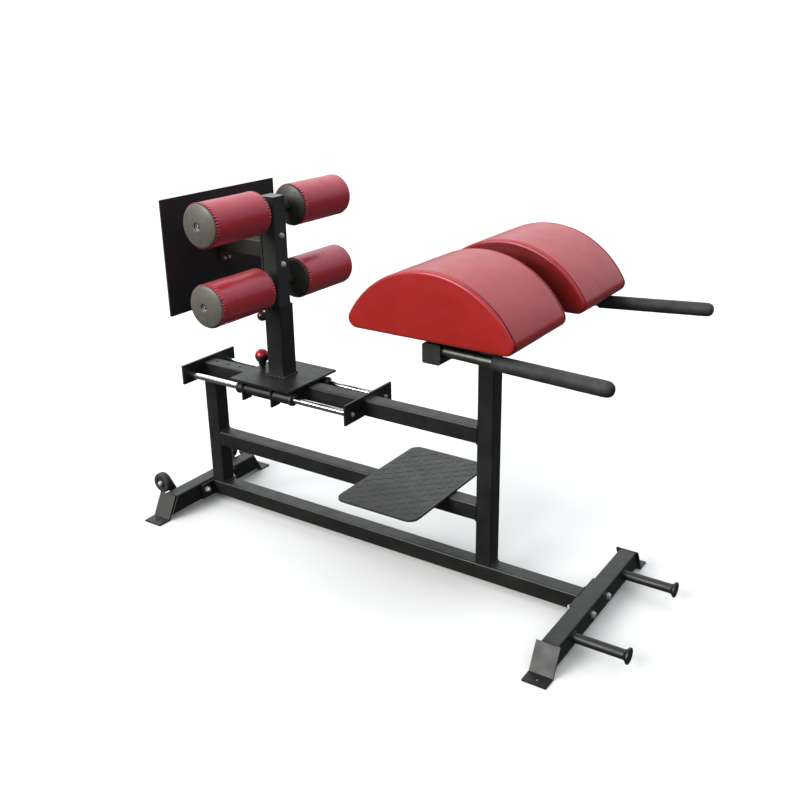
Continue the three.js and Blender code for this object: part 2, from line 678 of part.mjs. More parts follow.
// Short box arm with a bolting flange on the mast and another on the foot plate.
function footPlateArm() {
  const { side, wall, flangeThickness } = ARM;
  const { halfWidth, bottom, top } = ARM_FLANGE;
  const fromX = FOOT_PLATE.x + FOOT_PLATE.thickness + GAP - MAST_X;
  const toX = -MAST.side / 2 - GAP;
  const flange = (x) =>
    block(x, x + flangeThickness, -halfWidth, halfWidth, bottom - ARM.z, top - ARM.z);
  const hollow = side - 2 * wall;
  const bore = block(fromX - 1, toX + 1, -hollow / 2, hollow / 2, -hollow / 2, hollow / 2);
  const outer = prism(roundedRectangle(side, side, 5), 'x', toX - fromX, 2);
  const boltHoles = Object.values(MAST_BOLT.zs).map((z) =>
    cylinder('x', MAST_BOLT.radius + BOLT_CLEARANCE, 3 * flangeThickness, ROUND_HOLE)
      .translate(toX - 2 * flangeThickness, 0, z - ARM.z));
  return cut(
    join(outer.translate(fromX, 0, 0), flange(fromX), flange(toX - flangeThickness)),
    bore,
    ...boltHoles,
  );
}

function roller() {
  const { radius, innerY, outerY, rimY } = ROLLER;
  const bore = AXLE.radius + GAP;
  const faceRadius = radius - 25;
  return turned('y', [
    [innerY, bore],
    [innerY, faceRadius],
    [innerY + rimY, radius],
    [outerY - rimY, radius],
    [outerY, faceRadius],
    [outerY, bore],
    [innerY, bore],
  ], ROUND_LARGE);
}

function addRollers() {
  const { lowZ, highZ } = ROLLER;
  for (const [level, z] of [['upper', highZ], ['lower', lowZ]]) {
    const axle = cylinder('y', AXLE.radius, 2 * AXLE.halfLength);
    place(mast, `roller_axle_${level}`, axle, zinc, MAST_X, -AXLE.halfLength, z);
    for (const [sideName, side] of SIDES) {
      const mesh = place(mast, `ankle_roller_${level}_${sideName}`, roller(), redVinyl, MAST_X, 0, z);
      mesh.rotation.z = side < 0 ? Math.PI : 0;
    }
  }
}

function addMast() {
  place(mast, 'mast_tube', mastTube(), blackPaint, MAST_X);
  place(mast, 'mast_cap', mastCap(), blackPlastic, MAST_X, 0, MAST.top - MAST.capThickness);
  place(mast, 'foot_plate_arm', footPlateArm(), blackPaint, MAST_X, 0, ARM.z);
  const { x, thickness, halfWidth, bottom, top } = FOOT_PLATE;
  const sheet = roundedRectangle(2 * halfWidth, top - bottom, 4);
  place(mast, 'foot_plate', prism(sheet, 'x', thickness, 2), blackPaint, x, 0, (bottom + top) / 2);

  const grip = MAST.side + ARM.flangeThickness + 3 * GAP;
  for (const [level, z] of Object.entries(MAST_BOLT.zs)) {
    const bolt = place(mast, `mast_bolt_${level}`, fittedBolt('x', MAST_BOLT.radius, grip, 5), zinc,
      MAST_X + MAST.side / 2 + GAP, 0, z);
    bolt.rotation.z = Math.PI;
  }
  addRollers();
}

// ---------------------------------------------------------------- assembly

addRails();
addUprights();
addFoot('rear', -1, REAR_FOOT_X, REAR_STRAP, REAR_BOLT);
addFoot('front', 1, FRONT_FOOT_X, FRONT_STRAP, FRONT_BOLT);
addStorageHorns();
addWheels();
addStepPlate();
addRodsAndPlates();
addPadBeam();
addPads();
addHandles();
addCarriage();
addMast();

export default chair;
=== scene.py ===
"""Looks of the roman chair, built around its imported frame. Metres, +Z up, +X to the hand rails."""

import json
import math

import bpy
import numpy as np
from mathutils import Matrix, Vector, kdtree, noise


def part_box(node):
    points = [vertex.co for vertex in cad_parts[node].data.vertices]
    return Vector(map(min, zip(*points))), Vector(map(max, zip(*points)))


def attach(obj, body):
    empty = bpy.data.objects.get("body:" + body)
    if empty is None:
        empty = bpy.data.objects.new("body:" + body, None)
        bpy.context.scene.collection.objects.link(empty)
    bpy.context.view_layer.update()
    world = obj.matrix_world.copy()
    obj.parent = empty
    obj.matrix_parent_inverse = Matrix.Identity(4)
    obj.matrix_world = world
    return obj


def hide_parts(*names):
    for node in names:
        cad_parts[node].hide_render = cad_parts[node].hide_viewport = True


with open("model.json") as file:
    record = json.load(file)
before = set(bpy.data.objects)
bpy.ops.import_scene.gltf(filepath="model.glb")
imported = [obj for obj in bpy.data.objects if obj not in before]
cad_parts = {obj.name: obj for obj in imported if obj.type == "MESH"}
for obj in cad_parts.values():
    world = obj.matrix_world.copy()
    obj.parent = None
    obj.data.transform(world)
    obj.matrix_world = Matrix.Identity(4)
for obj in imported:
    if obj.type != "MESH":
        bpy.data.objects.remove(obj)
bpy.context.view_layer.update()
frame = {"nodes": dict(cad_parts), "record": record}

MM = 0.001
SIDES = {"near": -1, "far": 1}
LEVELS = ("upper", "lower")
scene = bpy.context.scene


# ---------- camera, floor and light

CAMERA_PLACE = Vector((1.7836, -2.5449, 1.8376))
CAMERA_TURN = math.radians(31.66)
CAMERA_TILT = math.radians(20.57)
CAMERA_LENS = 43.55
CAMERA_SHIFT = (-0.0507, -0.0262)


def add_object(name, data):
    thing = bpy.data.objects.new(name, data)
    scene.collection.objects.link(thing)
    return thing


def add_camera():
    data = bpy.data.cameras.new("camera")
    data.lens = CAMERA_LENS
    data.shift_x, data.shift_y = CAMERA_SHIFT
    data.clip_end = 2000
    camera = scene.camera = add_object("camera", data)
    camera.location = CAMERA_PLACE
    camera.rotation_euler = (math.pi / 2 - CAMERA_TILT, 0, CAMERA_TURN)


def add_sun(name, azimuth, elevation, strength, spread, colour):
    """Soft parallel light from a compass angle (degrees from +X, counter-clockwise) and a height."""
    data = bpy.data.lights.new(name, "SUN")
    data.energy = strength
    data.angle = math.radians(spread)
    data.color = colour
    around, up = math.radians(azimuth), math.radians(elevation)
    source = Vector((math.cos(around) * math.cos(up), math.sin(around) * math.cos(up), math.sin(up)))
    add_object(name, data).rotation_euler = source.to_track_quat("Z", "Y").to_euler()


SKY_TINT = (0.93, 0.975, 1.0)
SKY_LOW = 0.08  # strength at and under the horizon
SKY_HIGH = 0.55  # strength overhead
WINDOW_TOWARD = (-0.45, 1.0, 0.25)
WINDOW_STRENGTH = 0.95
OVERHEAD_TOWARD = (-0.49, -0.35, 0.80)
OVERHEAD_STRENGTH = 1.1
BACKDROP = (1.0, 1.0, 1.0)


def add_sky():
    """A dome that is bright above and dark low down, with a wide window that starts at the horizon
    on the far side and a soft lamp overhead; the camera sees an even pale backdrop instead."""
    world = scene.world = bpy.data.worlds.new("studio")
    world.use_nodes = True
    g = Nodes(world.node_tree)
    way = g.node("ShaderNodeTexCoord").outputs["Generated"]

    def ramp(value, low, high, to_low, to_high):
        return g.span(value, low, high, to_low, to_high, interpolation_type="SMOOTHSTEP")

    def nearness(direction):
        return g.dot(way, Vector(direction).normalized())

    height = g.node("ShaderNodeSeparateXYZ", {0: way}).outputs["Z"]
    window = g.math("MULTIPLY", ramp(height, -0.01, 0.07, 0, 1),
                    ramp(nearness(WINDOW_TOWARD), -0.05, 0.98, 0, WINDOW_STRENGTH))
    lamp = ramp(nearness(OVERHEAD_TOWARD), 0.90, 0.97, 0, OVERHEAD_STRENGTH)
    dome = ramp(height, 0.05, 0.75, SKY_LOW, SKY_HIGH)
    strength = g.math("ADD", g.math("ADD", window, lamp), dome)
    sky = g.fill(g.tree.nodes["Background"], {"Color": SKY_TINT, "Strength": strength})
    seen = g.node("ShaderNodeBackground", {"Color": BACKDROP})
    from_camera = g.node("ShaderNodeLightPath").outputs["Is Camera Ray"]
    mix = g.node("ShaderNodeMixShader", {0: from_camera, 1: sky.outputs[0], 2: seen.outputs[0]})
    g.fill(g.tree.nodes["World Output"], {"Surface": mix.outputs[0]})


def add_lights():
    add_sky()
    add_sun("key", -112, 27, 3.1, 34, (1.0, 0.985, 0.955))
    add_sun("side", -18, 50, 0.60, 55, (0.97, 0.985, 1.0))
    add_sun("back", 165, 48, 0.4, 50, (0.95, 0.98, 1.0))


def add_floor():
    half = 400
    mesh = bpy.data.meshes.new("floor")
    corners = [(-half, -half, 0), (half, -half, 0), (half, half, 0), (-half, half, 0)]
    mesh.from_pydata(corners, [], [(0, 1, 2, 3)])
    mesh.materials.append(floor_material())
    floor = add_object("floor", mesh)
    floor.visible_diffuse = False
    floor.visible_glossy = False


# ---------- materials

class Nodes:
    """Adds shader nodes to a tree; an input is a value, a colour or another node's socket."""

    def __init__(self, tree):
        self.tree = tree

    def fill(self, node, inputs):
        for key, value in inputs.items():
            socket = node.inputs[key]
            if isinstance(value, bpy.types.NodeSocket):
                self.tree.links.new(value, socket)
            else:
                socket.default_value = (*value, 1) if socket.type == "RGBA" else value
        return node

    def node(self, kind, inputs=None, **settings):
        node = self.tree.nodes.new(kind)
        for key, value in settings.items():
            setattr(node, key, value)
        return self.fill(node, inputs or {})

    def span(self, value, low, high, to_low=0.0, to_high=1.0, **settings):
        inputs = {"Value": value, "From Min": low, "From Max": high, "To Min": to_low, "To Max": to_high}
        return self.node("ShaderNodeMapRange", inputs, **settings).outputs["Result"]

    def math(self, operation, a, b):
        return self.node("ShaderNodeMath", {0: a, 1: b}, operation=operation).outputs[0]

    def dot(self, a, b):
        return self.node("ShaderNodeVectorMath", {0: a, 1: b}, operation="DOT_PRODUCT").outputs["Value"]


class Graph(Nodes):
    """A material's node graph with a Principled shader; every texture is in metres."""

    def __init__(self, name):
        self.material = bpy.data.materials.new(name)
        self.material.use_nodes = True
        super().__init__(self.material.node_tree)
        self.place = self.node("ShaderNodeTexCoord").outputs["Object"]

    def noise(self, size, detail=3.0, roughness=0.55, vector=None):
        inputs = {"Vector": vector or self.place, "Scale": 1 / size, "Detail": detail,
                  "Roughness": roughness}
        return self.node("ShaderNodeTexNoise", inputs).outputs["Fac"]

    def blend(self, factor, first, second):
        inputs = {0: factor, 6: first, 7: second}
        return self.node("ShaderNodeMix", inputs, data_type="RGBA").outputs[2]

    def bump(self, height, distance, strength):
        inputs = {"Height": height, "Distance": distance, "Strength": strength}
        return self.node("ShaderNodeBump", inputs).outputs["Normal"]

    def edges(self, radius):
        """1 on sharp edges and 0 on flat surface, from a rounded normal."""
        rounded = self.node("ShaderNodeBevel", {"Radius": radius}, samples=4).outputs["Normal"]
        flat = self.node("ShaderNodeNewGeometry").outputs["Normal"]
        return self.span(self.math("SUBTRACT", 1.0, self.dot(rounded, flat)), 0.02, 0.16)

    def set(self, **inputs):
        """Sets the Principled shader's inputs and returns the material."""
        self.fill(self.tree.nodes["Principled BSDF"],
                  {key.replace("_", " "): value for key, value in inputs.items()})
        return self.material


def floor_material():
    g = Graph("pale_floor")
    colour = g.blend(g.noise(0.9), (0.83, 0.83, 0.82), (0.87, 0.87, 0.865))
    return g.set(Base_Color=colour, Roughness=0.9, Specular_IOR_Level=0.1)


def paint_material(name, dark, light, roughness=0.42, worn=(0.11, 0.11, 0.10), wear=0.35):
    """Satin powder coat: orange peel, faint dust and handling marks, paler worn edges."""
    g = Graph(name)
    dust = g.span(g.noise(0.16, 5), 0.42, 0.72)
    colour = g.blend(dust, dark, light)
    patchy = g.span(g.noise(0.02, 4), 0.38, 0.66)
    edge = g.math("MULTIPLY", g.edges(0.0016), g.math("MULTIPLY", patchy, wear))
    colour = g.blend(edge, colour, worn)
    peel = g.bump(g.noise(0.0022, 2), 0.00022, 0.35)
    gloss = g.span(g.noise(0.05, 4), 0.3, 0.7, roughness - 0.06, roughness + 0.08)
    return g.set(Base_Color=colour, Roughness=gloss, Specular_IOR_Level=0.50, Normal=peel)


def vinyl_material(name, dark, light, gleam, shade_reach):
    """Upholstery vinyl: soft grain, slow tone changes, a faint scuff, and painted shade that turns it
    near black in hollows, where other surfaces stand within the given reach.
    """
    g = Graph(name)
    tone = g.span(g.noise(0.13, 4), 0.35, 0.68)
    colour = g.blend(tone, dark, light)
    speck = g.span(g.noise(0.0016, 2), 0.35, 0.7)
    colour = g.blend(g.math("MULTIPLY", speck, 0.18), colour, (0.25, 0.008, 0.009))
    # Painted shade: ambient occlusion darkens the vinyl towards near black where other surfaces stand
    # close.
    painted_hollow_shade = g.node("ShaderNodeAmbientOcclusion", {"Distance": shade_reach}, samples=6).outputs["AO"]
    colour = g.blend(g.span(painted_hollow_shade, 0.50, 0.88), (0.032, 0.0040, 0.0030), colour)
    fine = g.bump(g.noise(0.0018, 2), 0.00008, 0.30)
    gloss = g.span(g.noise(0.05, 4), 0.3, 0.7, 0.27, 0.36)
    return g.set(Base_Color=colour, Roughness=gloss, Specular_IOR_Level=gleam,
                 Specular_Tint=(1.0, 0.60, 0.80), Sheen_Weight=0.12, Sheen_Roughness=0.4,
                 Sheen_Tint=(1.0, 0.66, 0.80), Normal=fine)


def seam_shade_thread_material():
    g = Graph("red_thread_seam_shade")
    # Painted shade: the thread is far darker than the vinyl, so that the seam reads as its shadowed
    # groove.
    colour = g.blend(g.noise(0.002), (0.050, 0.004, 0.005), (0.110, 0.008, 0.009))
    twist = g.bump(g.noise(0.0006, 1), 0.0002, 0.8)
    return g.set(Base_Color=colour, Roughness=0.6, Normal=twist)


def metal_material(name, colour_a, colour_b, low, high, scratch=0.0016, stretch=(1, 1, 1),
                   metallic=1.0, depth=0.00004):
    """Bare or plated metal: fine directional scratches and cloudy gloss."""
    g = Graph(name)
    mapped = g.node("ShaderNodeMapping", {"Vector": g.place, "Scale": stretch}).outputs["Vector"]
    lines = g.noise(scratch, 3, 0.6, mapped)
    colour = g.blend(g.span(g.noise(0.03, 4), 0.35, 0.7), colour_a, colour_b)
    gloss = g.span(g.math("ADD", g.noise(0.02, 4), g.math("MULTIPLY", lines, 0.4)), 0.4, 0.95, low, high)
    return g.set(Base_Color=colour, Metallic=metallic, Roughness=gloss,
                 Normal=g.bump(lines, depth, 0.35))


def plastic_material(name, dark, light, low, high, grain=0.0012, depth=0.00012):
    """Moulded plastic or rubber with a fine eroded texture and uneven gloss."""
    g = Graph(name)
    colour = g.blend(g.span(g.noise(0.018, 4), 0.35, 0.7), dark, light)
    gloss = g.span(g.noise(0.03, 3), 0.35, 0.65, low, high)
    return g.set(Base_Color=colour, Roughness=gloss, Normal=g.bump(g.noise(grain, 3), depth, 0.6))


def foam_material():
    """Closed-cell foam rubber: open pores and a dusty bloom."""
    g = Graph("grip_foam")
    bloom = g.span(g.noise(0.03, 4), 0.35, 0.7)
    colour = g.blend(bloom, (0.016, 0.016, 0.017), (0.036, 0.034, 0.035))
    cells = g.node("ShaderNodeTexVoronoi", {"Vector": g.place, "Scale": 1 / 0.0011})
    pores = g.span(cells.outputs["Distance"], 0.0, 0.45)
    normal = g.bump(pores, 0.00035, 0.7)
    return g.set(Base_Color=colour, Roughness=0.62, Specular_IOR_Level=0.45, Normal=normal)


def cloth_material():
    """Plain woven backing cloth under the pads."""
    g = Graph("backing_cloth")
    waves = []
    for direction in ("X", "Y"):
        inputs = {"Vector": g.place, "Scale": 220.0, "Distortion": 0.3}
        waves.append(g.node("ShaderNodeTexWave", inputs, bands_direction=direction).outputs["Fac"])
    weave = g.math("MAXIMUM", *waves)
    colour = g.blend(weave, (0.010, 0.010, 0.010), (0.030, 0.030, 0.030))
    return g.set(Base_Color=colour, Roughness=0.95, Normal=g.bump(weave, 0.0003, 0.8))


# What each material's function takes after its name: two colours, then gloss and grain.
PAINTS = {
    "frame_paint": ((0.0084, 0.0093, 0.0080), (0.0150, 0.0158, 0.0135)),
    # The mast's paint is the frame paint made lighter: painted light that makes up for the shadow the
    # rollers cast on it.
    "mast_paint": ((0.025, 0.0285, 0.0270), (0.036, 0.040, 0.037)),
    "plate_paint": ((0.0105, 0.0155, 0.0185), (0.017, 0.0225, 0.0270)),
    # The arm's paint is the frame paint made lighter and olive: painted light for the warm light falling
    # on the arm.
    "arm_paint": ((0.026, 0.0245, 0.0180), (0.034, 0.032, 0.023)),
    "tread_paint": ((0.029, 0.0285, 0.028), (0.049, 0.048, 0.047), 0.5, (0.16, 0.16, 0.16), 0.4),
}
METALS = {
    "chrome_rod": ((0.90, 0.91, 0.92), (0.85, 0.86, 0.87), 0.10, 0.18, 0.004, (1, 14, 14), 1.0, 6e-6),
    "zinc_steel": ((0.82, 0.83, 0.84), (0.68, 0.69, 0.69), 0.30, 0.46, 0.0016, (1, 1, 1), 0.72),
    # The cap screws' steel is the zinc steel made darker: painted shade for a screw sunk in each outer
    # cap's well.
    "dark_screw": ((0.34, 0.34, 0.33), (0.24, 0.24, 0.235), 0.24, 0.36),
    "bare_tube": ((0.27, 0.275, 0.24), (0.19, 0.195, 0.17), 0.26, 0.38, 0.003, (1, 16, 16)),
}
PLASTICS = {
    "wheel_rubber": ((0.018, 0.018, 0.017), (0.040, 0.040, 0.037), 0.6, 0.8),
    "black_plastic": ((0.020, 0.020, 0.019), (0.034, 0.033, 0.031), 0.38, 0.55),
    "gloss_plastic": ((0.024, 0.024, 0.023), (0.034, 0.034, 0.032), 0.16, 0.26),
    "roller_cap": ((0.104, 0.098, 0.080), (0.134, 0.126, 0.103), 0.34, 0.50, 0.0016, 0.0001),
    # The inner caps' plastic is the outer caps' plastic made darker: painted shade for the inner ends,
    # which lie between the rollers and the mast.
    "inner_cap": ((0.036, 0.034, 0.028), (0.052, 0.049, 0.040), 0.36, 0.52, 0.0016, 0.0001),
    "red_knob": ((0.46, 0.010, 0.016), (0.38, 0.006, 0.010), 0.10, 0.20, 0.004, 0.00004),
    # The knob's cup is near black gloss: painted shade and reflection for the lower half of the red
    # knob.
    "knob_cup": ((0.012, 0.012, 0.012), (0.020, 0.019, 0.018), 0.16, 0.28, 0.004, 0.00004),
}
# Vinyl rows: two colours, the reflection strength, and how far the painted shade in hollows reaches, in
# metres.
VINYLS = {
    "red_vinyl": ((0.355, 0.0165, 0.0115), (0.405, 0.0195, 0.0130), 0.72, 0.30),
    # The rollers' vinyl is the pads' vinyl with a lighter, pinker base colour: painted light for how the
    # rollers are lit.
    "roller_vinyl": ((0.430, 0.0230, 0.0300), (0.470, 0.0270, 0.0350), 1.0, 0.08),
}
MATERIALS = {"grip_foam": foam_material(), "thread": seam_shade_thread_material(), "backing": cloth_material()}
for make, rows in ((paint_material, PAINTS), (metal_material, METALS), (plastic_material, PLASTICS),
                   (vinyl_material, VINYLS)):
    MATERIALS.update({name: make(name, *row) for name, row in rows.items()})


# ---------- mesh tools

def add_piece(name, verts, faces, material, body, slot=None, sharp=40, hides=()):
    """A finished mesh, in place in the frame, that rides on a body."""
    mesh = bpy.data.meshes.new(name)
    mesh.from_pydata([tuple(v) for v in verts], [], [tuple(f) for f in faces])
    mesh.validate()
    mesh.update()
    mesh.shade_smooth()
    mesh.set_sharp_from_angle(angle=math.radians(sharp))
    mesh.materials.append(MATERIALS[material])
    piece = add_object(name, mesh)
    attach(piece, body)
    if hides:
        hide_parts(*hides)
    return piece


ORIGIN = Matrix.Identity(4)


class Solid:
    """Vertices and faces that grow by simple forms, each put in place by a matrix."""

    def __init__(self):
        self.verts = []
        self.faces = []

    def take(self, verts, faces, matrix=ORIGIN):
        start = len(self.verts)
        self.verts += [matrix @ Vector(v) for v in verts]
        self.faces += [[start + i for i in face] for face in faces]

    def turned(self, profile, matrix=ORIGIN, segments=48):
        """Revolves (along, radius) pairs about local Z, in millimetres; ends on the axis close it."""
        levels = []
        for along, radius in profile:
            angles = turns(segments) if radius else [0.0]
            levels.append([(math.cos(a) * radius * MM, math.sin(a) * radius * MM, along * MM)
                           for a in angles])
        verts, rings = stacked(levels)
        self.take(verts, ring_faces(rings, segments), matrix)

    def prism(self, outline, low, high, matrix=ORIGIN, bevel=0.0):
        """Extrudes a convex outline in local XY from low to high, millimetres, with bevelled rims."""
        centre = np.mean(outline, axis=0)
        arms = np.asarray(outline, float) - centre
        reach = np.linalg.norm(arms, axis=1, keepdims=True)
        stages = [(low, bevel), (low + bevel, 0), (high - bevel, 0), (high, bevel)]
        levels = []
        for z, inset in stages if bevel else stages[::3]:
            flat = centre + arms * (reach - inset) / reach
            levels.append([(x * MM, y * MM, z * MM) for x, y in flat])
        verts, rings = stacked(levels)
        self.take(verts, ring_faces(rings, len(outline)) + [rings[0][::-1], rings[-1]], matrix)

    def sweep(self, path, radius, closed=False, sides=8, ripple=0.0):
        """A round bead along millimetre points, its radius rippled along its length."""
        points = [Vector(p) for p in path]
        count = len(points)
        levels, run = [], 0.0
        for i, point in enumerate(points):
            before = points[i - 1] if closed or i else point
            after = points[(i + 1) % count] if closed or i < count - 1 else point
            along = (after - before).normalized()
            if i:
                run += (point - points[i - 1]).length
            side = along.orthogonal() if abs(along.z) > 0.99 else along.cross(Vector((0, 0, 1)))
            side.normalize()
            other = along.cross(side)
            swell = radius * (1 + ripple * math.sin(math.tau * run / WELD_PITCH))
            levels.append([(point + (side * math.cos(a) + other * math.sin(a)) * swell) * MM
                           for a in turns(sides)])
        verts, rings = stacked(levels)
        if closed:
            faces = ring_faces(rings + rings[:1], sides)
        else:
            faces = ring_faces(rings, sides) + [rings[0], rings[-1][::-1]]
        self.take(verts, [face[::-1] for face in faces])

    def piece(self, name, material, body, **settings):
        return add_piece(name, self.verts, self.faces, material, body, **settings)


def add_turned(name, profile, place, segments, material, body, **settings):
    """A piece that is one turned form."""
    solid = Solid()
    solid.turned(profile, place, segments)
    return solid.piece(name, material, body, **settings)


def turns(count):
    """Angles of equal steps round a circle."""
    return [math.tau * i / count for i in range(count)]


def stacked(levels):
    """The points of several rings in one list, and each ring's places in it."""
    verts, rings = [], []
    for points in levels:
        rings.append(list(range(len(verts), len(verts) + len(points))))
        verts += points
    return verts, rings


def both_ends(end, high, low=0.0, middle=()):
    """A run of (along, value) pairs that starts with the given ones and ends with their mirror."""
    return ([(low + along, value) for along, value in end] + list(middle)
            + [(high - along, value) for along, value in reversed(end)])


def ring_faces(rings, count):
    """Faces between neighbouring rings; a ring of one vertex is a pole."""
    faces = []
    for lower, upper in zip(rings, rings[1:]):
        for i in range(count):
            j = (i + 1) % count
            if len(lower) == 1:
                faces.append((lower[0], upper[j], upper[i]))
            elif len(upper) == 1:
                faces.append((lower[i], lower[j], upper[0]))
            else:
                faces.append((lower[i], lower[j], upper[j], upper[i]))
    return faces


def pointing(place, direction, roll=0.0):
    """Matrix that puts local Z along a direction at a place given in metres."""
    turn = Vector(direction).to_track_quat("Z", "Y").to_matrix().to_4x4()
    return Matrix.Translation(Vector(place)) @ turn @ Matrix.Rotation(roll, 4, "Z")


def hexagon(across_flats):
    radius = across_flats / math.sqrt(3)
    return [(radius * math.cos(i * math.pi / 3), radius * math.sin(i * math.pi / 3)) for i in range(6)]


def rounded_square(half_x, half_y, radius, steps=5):
    points = []
    for quarter, (sign_x, sign_y) in enumerate(((1, 1), (-1, 1), (-1, -1), (1, -1))):
        for i in range(steps + 1):
            angle = (quarter + i / steps) * math.pi / 2
            points.append((sign_x * (half_x - radius) + radius * math.cos(angle),
                           sign_y * (half_y - radius) + radius * math.sin(angle)))
    return points


def middle(node):
    low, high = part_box(node)
    return (low + high) / 2


def box_mm(node):
    """Low and high corner of a node in millimetres."""
    return [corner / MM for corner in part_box(node)]


def axis_of(direction):
    return max(range(3), key=lambda i: abs(direction[i]))


def along_node(node, direction):
    """Matrix at the back end of a node's own axis, local Z along it, and its length in millimetres."""
    low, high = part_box(node)
    axis = axis_of(direction)
    back = (low + high) / 2
    back[axis] = low[axis] if direction[axis] > 0 else high[axis]
    return pointing(back, direction), (high[axis] - low[axis]) / MM


# ---------- carried-over CAD nodes

# The mast tube's paint is a lighter copy of the frame paint: painted light.
OWN_LOOKS = {"mast_tube": "mast_paint", "mast_cap": "gloss_plastic", "foot_plate": "plate_paint",
             # The arm's paint is a lighter, olive copy of the frame paint: painted light.
             "foot_plate_arm": "arm_paint"}


def finish_cad_nodes():
    """Smooth shading across small angles, a slight bevel on plate edges, and the slot's material."""
    slots = {part["node"]: part["material_slot"] for part in frame["record"]["subparts"]}
    bevelled = ("plate", "strap", "flange", "cap", "arm", "bracket")
    for name, node in frame["nodes"].items():
        node.data.materials.clear()
        node.data.materials.append(MATERIALS[OWN_LOOKS.get(name, slots[name])])
        node.data.shade_smooth()
        node.data.set_sharp_from_angle(angle=math.radians(35))
        if any(word in name for word in bevelled):
            bevel = node.modifiers.new("edge", "BEVEL")
            bevel.width = 0.0009
            bevel.segments = 2
            bevel.limit_method = "ANGLE"
            bevel.angle_limit = math.radians(50)


# ---------- fasteners

ACROSS_FLATS = 3.2  # of a head or nut, in bolt radii


def add_hexagon(solid, matrix, radius, height):
    """Washer and bevelled hexagon on local +Z; returns how far the hexagon's face stands out."""
    base = radius * 0.32
    solid.turned([(0, 0), (0, radius * 2.05), (base * 0.7, radius * 2.05), (base, radius * 1.95),
                  (base, 0)], matrix)
    solid.prism(hexagon(radius * ACROSS_FLATS), base, base + height, matrix, bevel=radius * 0.16)
    return base + height


def bolt_head(solid, matrix, radius):
    """Hexagon head on a washer, standing on local +Z from the face at the matrix's origin."""
    across = radius * ACROSS_FLATS
    top = add_hexagon(solid, matrix, radius, radius * 1.25)
    solid.turned([(top - 0.1, across * 0.46), (top + radius * 0.10, across * 0.40),
                  (top + radius * 0.22, across * 0.26), (top + radius * 0.26, 0)], matrix)


def bolt_nut(solid, matrix, radius, tail, turns_shown=4):
    """Nylon-insert nut on a washer with a threaded tail, standing on local +Z."""
    collar = add_hexagon(solid, matrix, radius, radius * 1.5)
    solid.turned([(collar - 0.2, radius * 1.45), (collar + radius * 0.35, radius * 1.35),
                  (collar + radius * 0.4, radius * 1.1)], matrix)
    pitch = tail / turns_shown
    thread = [(collar - 0.5, radius)]
    for i in range(turns_shown):
        z = collar + radius * 0.2 + i * pitch
        thread += [(z, radius), (z + pitch / 2, radius * 0.86)]
    top = collar + radius * 0.2 + tail
    solid.turned(thread + [(top, radius * 0.95), (top + 0.8, radius * 0.7), (top + 0.8, 0)], matrix)


def through_bolt(name, node, body, direction, radius, tail):
    """Replaces a CAD bolt that lies along an axis, with its head on the side of the direction."""
    low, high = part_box(node)
    direction = Vector(direction)
    axis = axis_of(direction)
    sign = 1 if direction[axis] > 0 else -1
    ends = {1: high[axis], -1: low[axis]}
    head_face = (low + high) / 2
    nut_face = head_face.copy()
    head_face[axis] = ends[sign] - sign * radius * 1.3 * MM
    nut_face[axis] = ends[-sign] + sign * (radius * 1.6 + tail) * MM
    shank = (head_face - nut_face).length / MM
    solid = Solid()
    bolt_head(solid, pointing(head_face, direction, 0.3), radius)
    bolt_nut(solid, pointing(nut_face, -direction, 0.1), radius, tail * 0.8)
    solid.turned([(0, 0), (0, radius * 0.96), (shank, radius * 0.96), (shank, 0)],
                 pointing(nut_face, direction), 24)
    solid.piece(name, "zinc_steel", body, hides=[node])


def add_bolts():
    for side in SIDES:
        through_bolt(f"front_bolt_{side}", f"front_foot_bolt_{side}", "frame", (1, 0, 0), 6, 7)
        through_bolt(f"rear_bolt_{side}", f"rear_foot_bolt_{side}", "frame", (-1, 0, 0), 6, 7)
        facing = (0, SIDES[side], 0)
        through_bolt(f"axle_bolt_{side}", f"wheel_bolt_{side}", "frame", facing, 5, 4)
    for level in LEVELS:
        through_bolt(f"arm_bolt_{level}", f"mast_bolt_{level}", "mast", (1, 0, 0), 5, 5)


SCREW_SPREAD = 0.0105  # of the foot plate's screws, from the middle and from the arm's edges
PLATE_FLANGE = 0.0083  # how far the arm's flange stands off the foot plate's face


def add_plate_screws():
    """Screws in the ends of the guide rods and on the foot plate's flange."""
    rods = Solid()
    rear_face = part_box("rear_rod_plate")[0].x
    front_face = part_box("front_rod_plate")[1].x
    for side in SIDES:
        rod = middle(f"guide_rod_{side}")
        bolt_head(rods, pointing((front_face, rod.y, rod.z), (1, 0, 0), 0.4), 4)
        bolt_head(rods, pointing((rear_face, rod.y, rod.z), (-1, 0, 0), 0.2), 4)
    rods.piece("guide_rod_screws", "zinc_steel", "frame")

    plate = Solid()
    low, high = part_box("foot_plate")
    arm_low, arm_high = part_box("foot_plate_arm")
    for z in (arm_low.z + SCREW_SPREAD, arm_high.z - SCREW_SPREAD):
        for y in (-SCREW_SPREAD, SCREW_SPREAD):
            bolt_head(plate, pointing((low.x, y, z), (-1, 0, 0), 0.5), 3.6)
            bolt_head(plate, pointing((high.x + PLATE_FLANGE, y, z), (1, 0, 0), 0.2), 2.9)
    plate.piece("foot_plate_screws", "zinc_steel", "mast")


# ---------- welds

WELD_STEP = 1.6
WELD_PITCH = 5.2
WELD_RIPPLE = 0.13
TUBE_HALF = 30  # of the frame's square tube
FLAT_HALF = 26  # of the flat between the tube's rounded edges


def bead_points(start, end):
    start, end = Vector(start), Vector(end)
    count = max(int((end - start).length / WELD_STEP), 2)
    return [start.lerp(end, i / count) for i in range(count + 1)]


def weld_line(solid, start, end, radius=4.5):
    solid.sweep(bead_points(start, end), radius, ripple=WELD_RIPPLE)


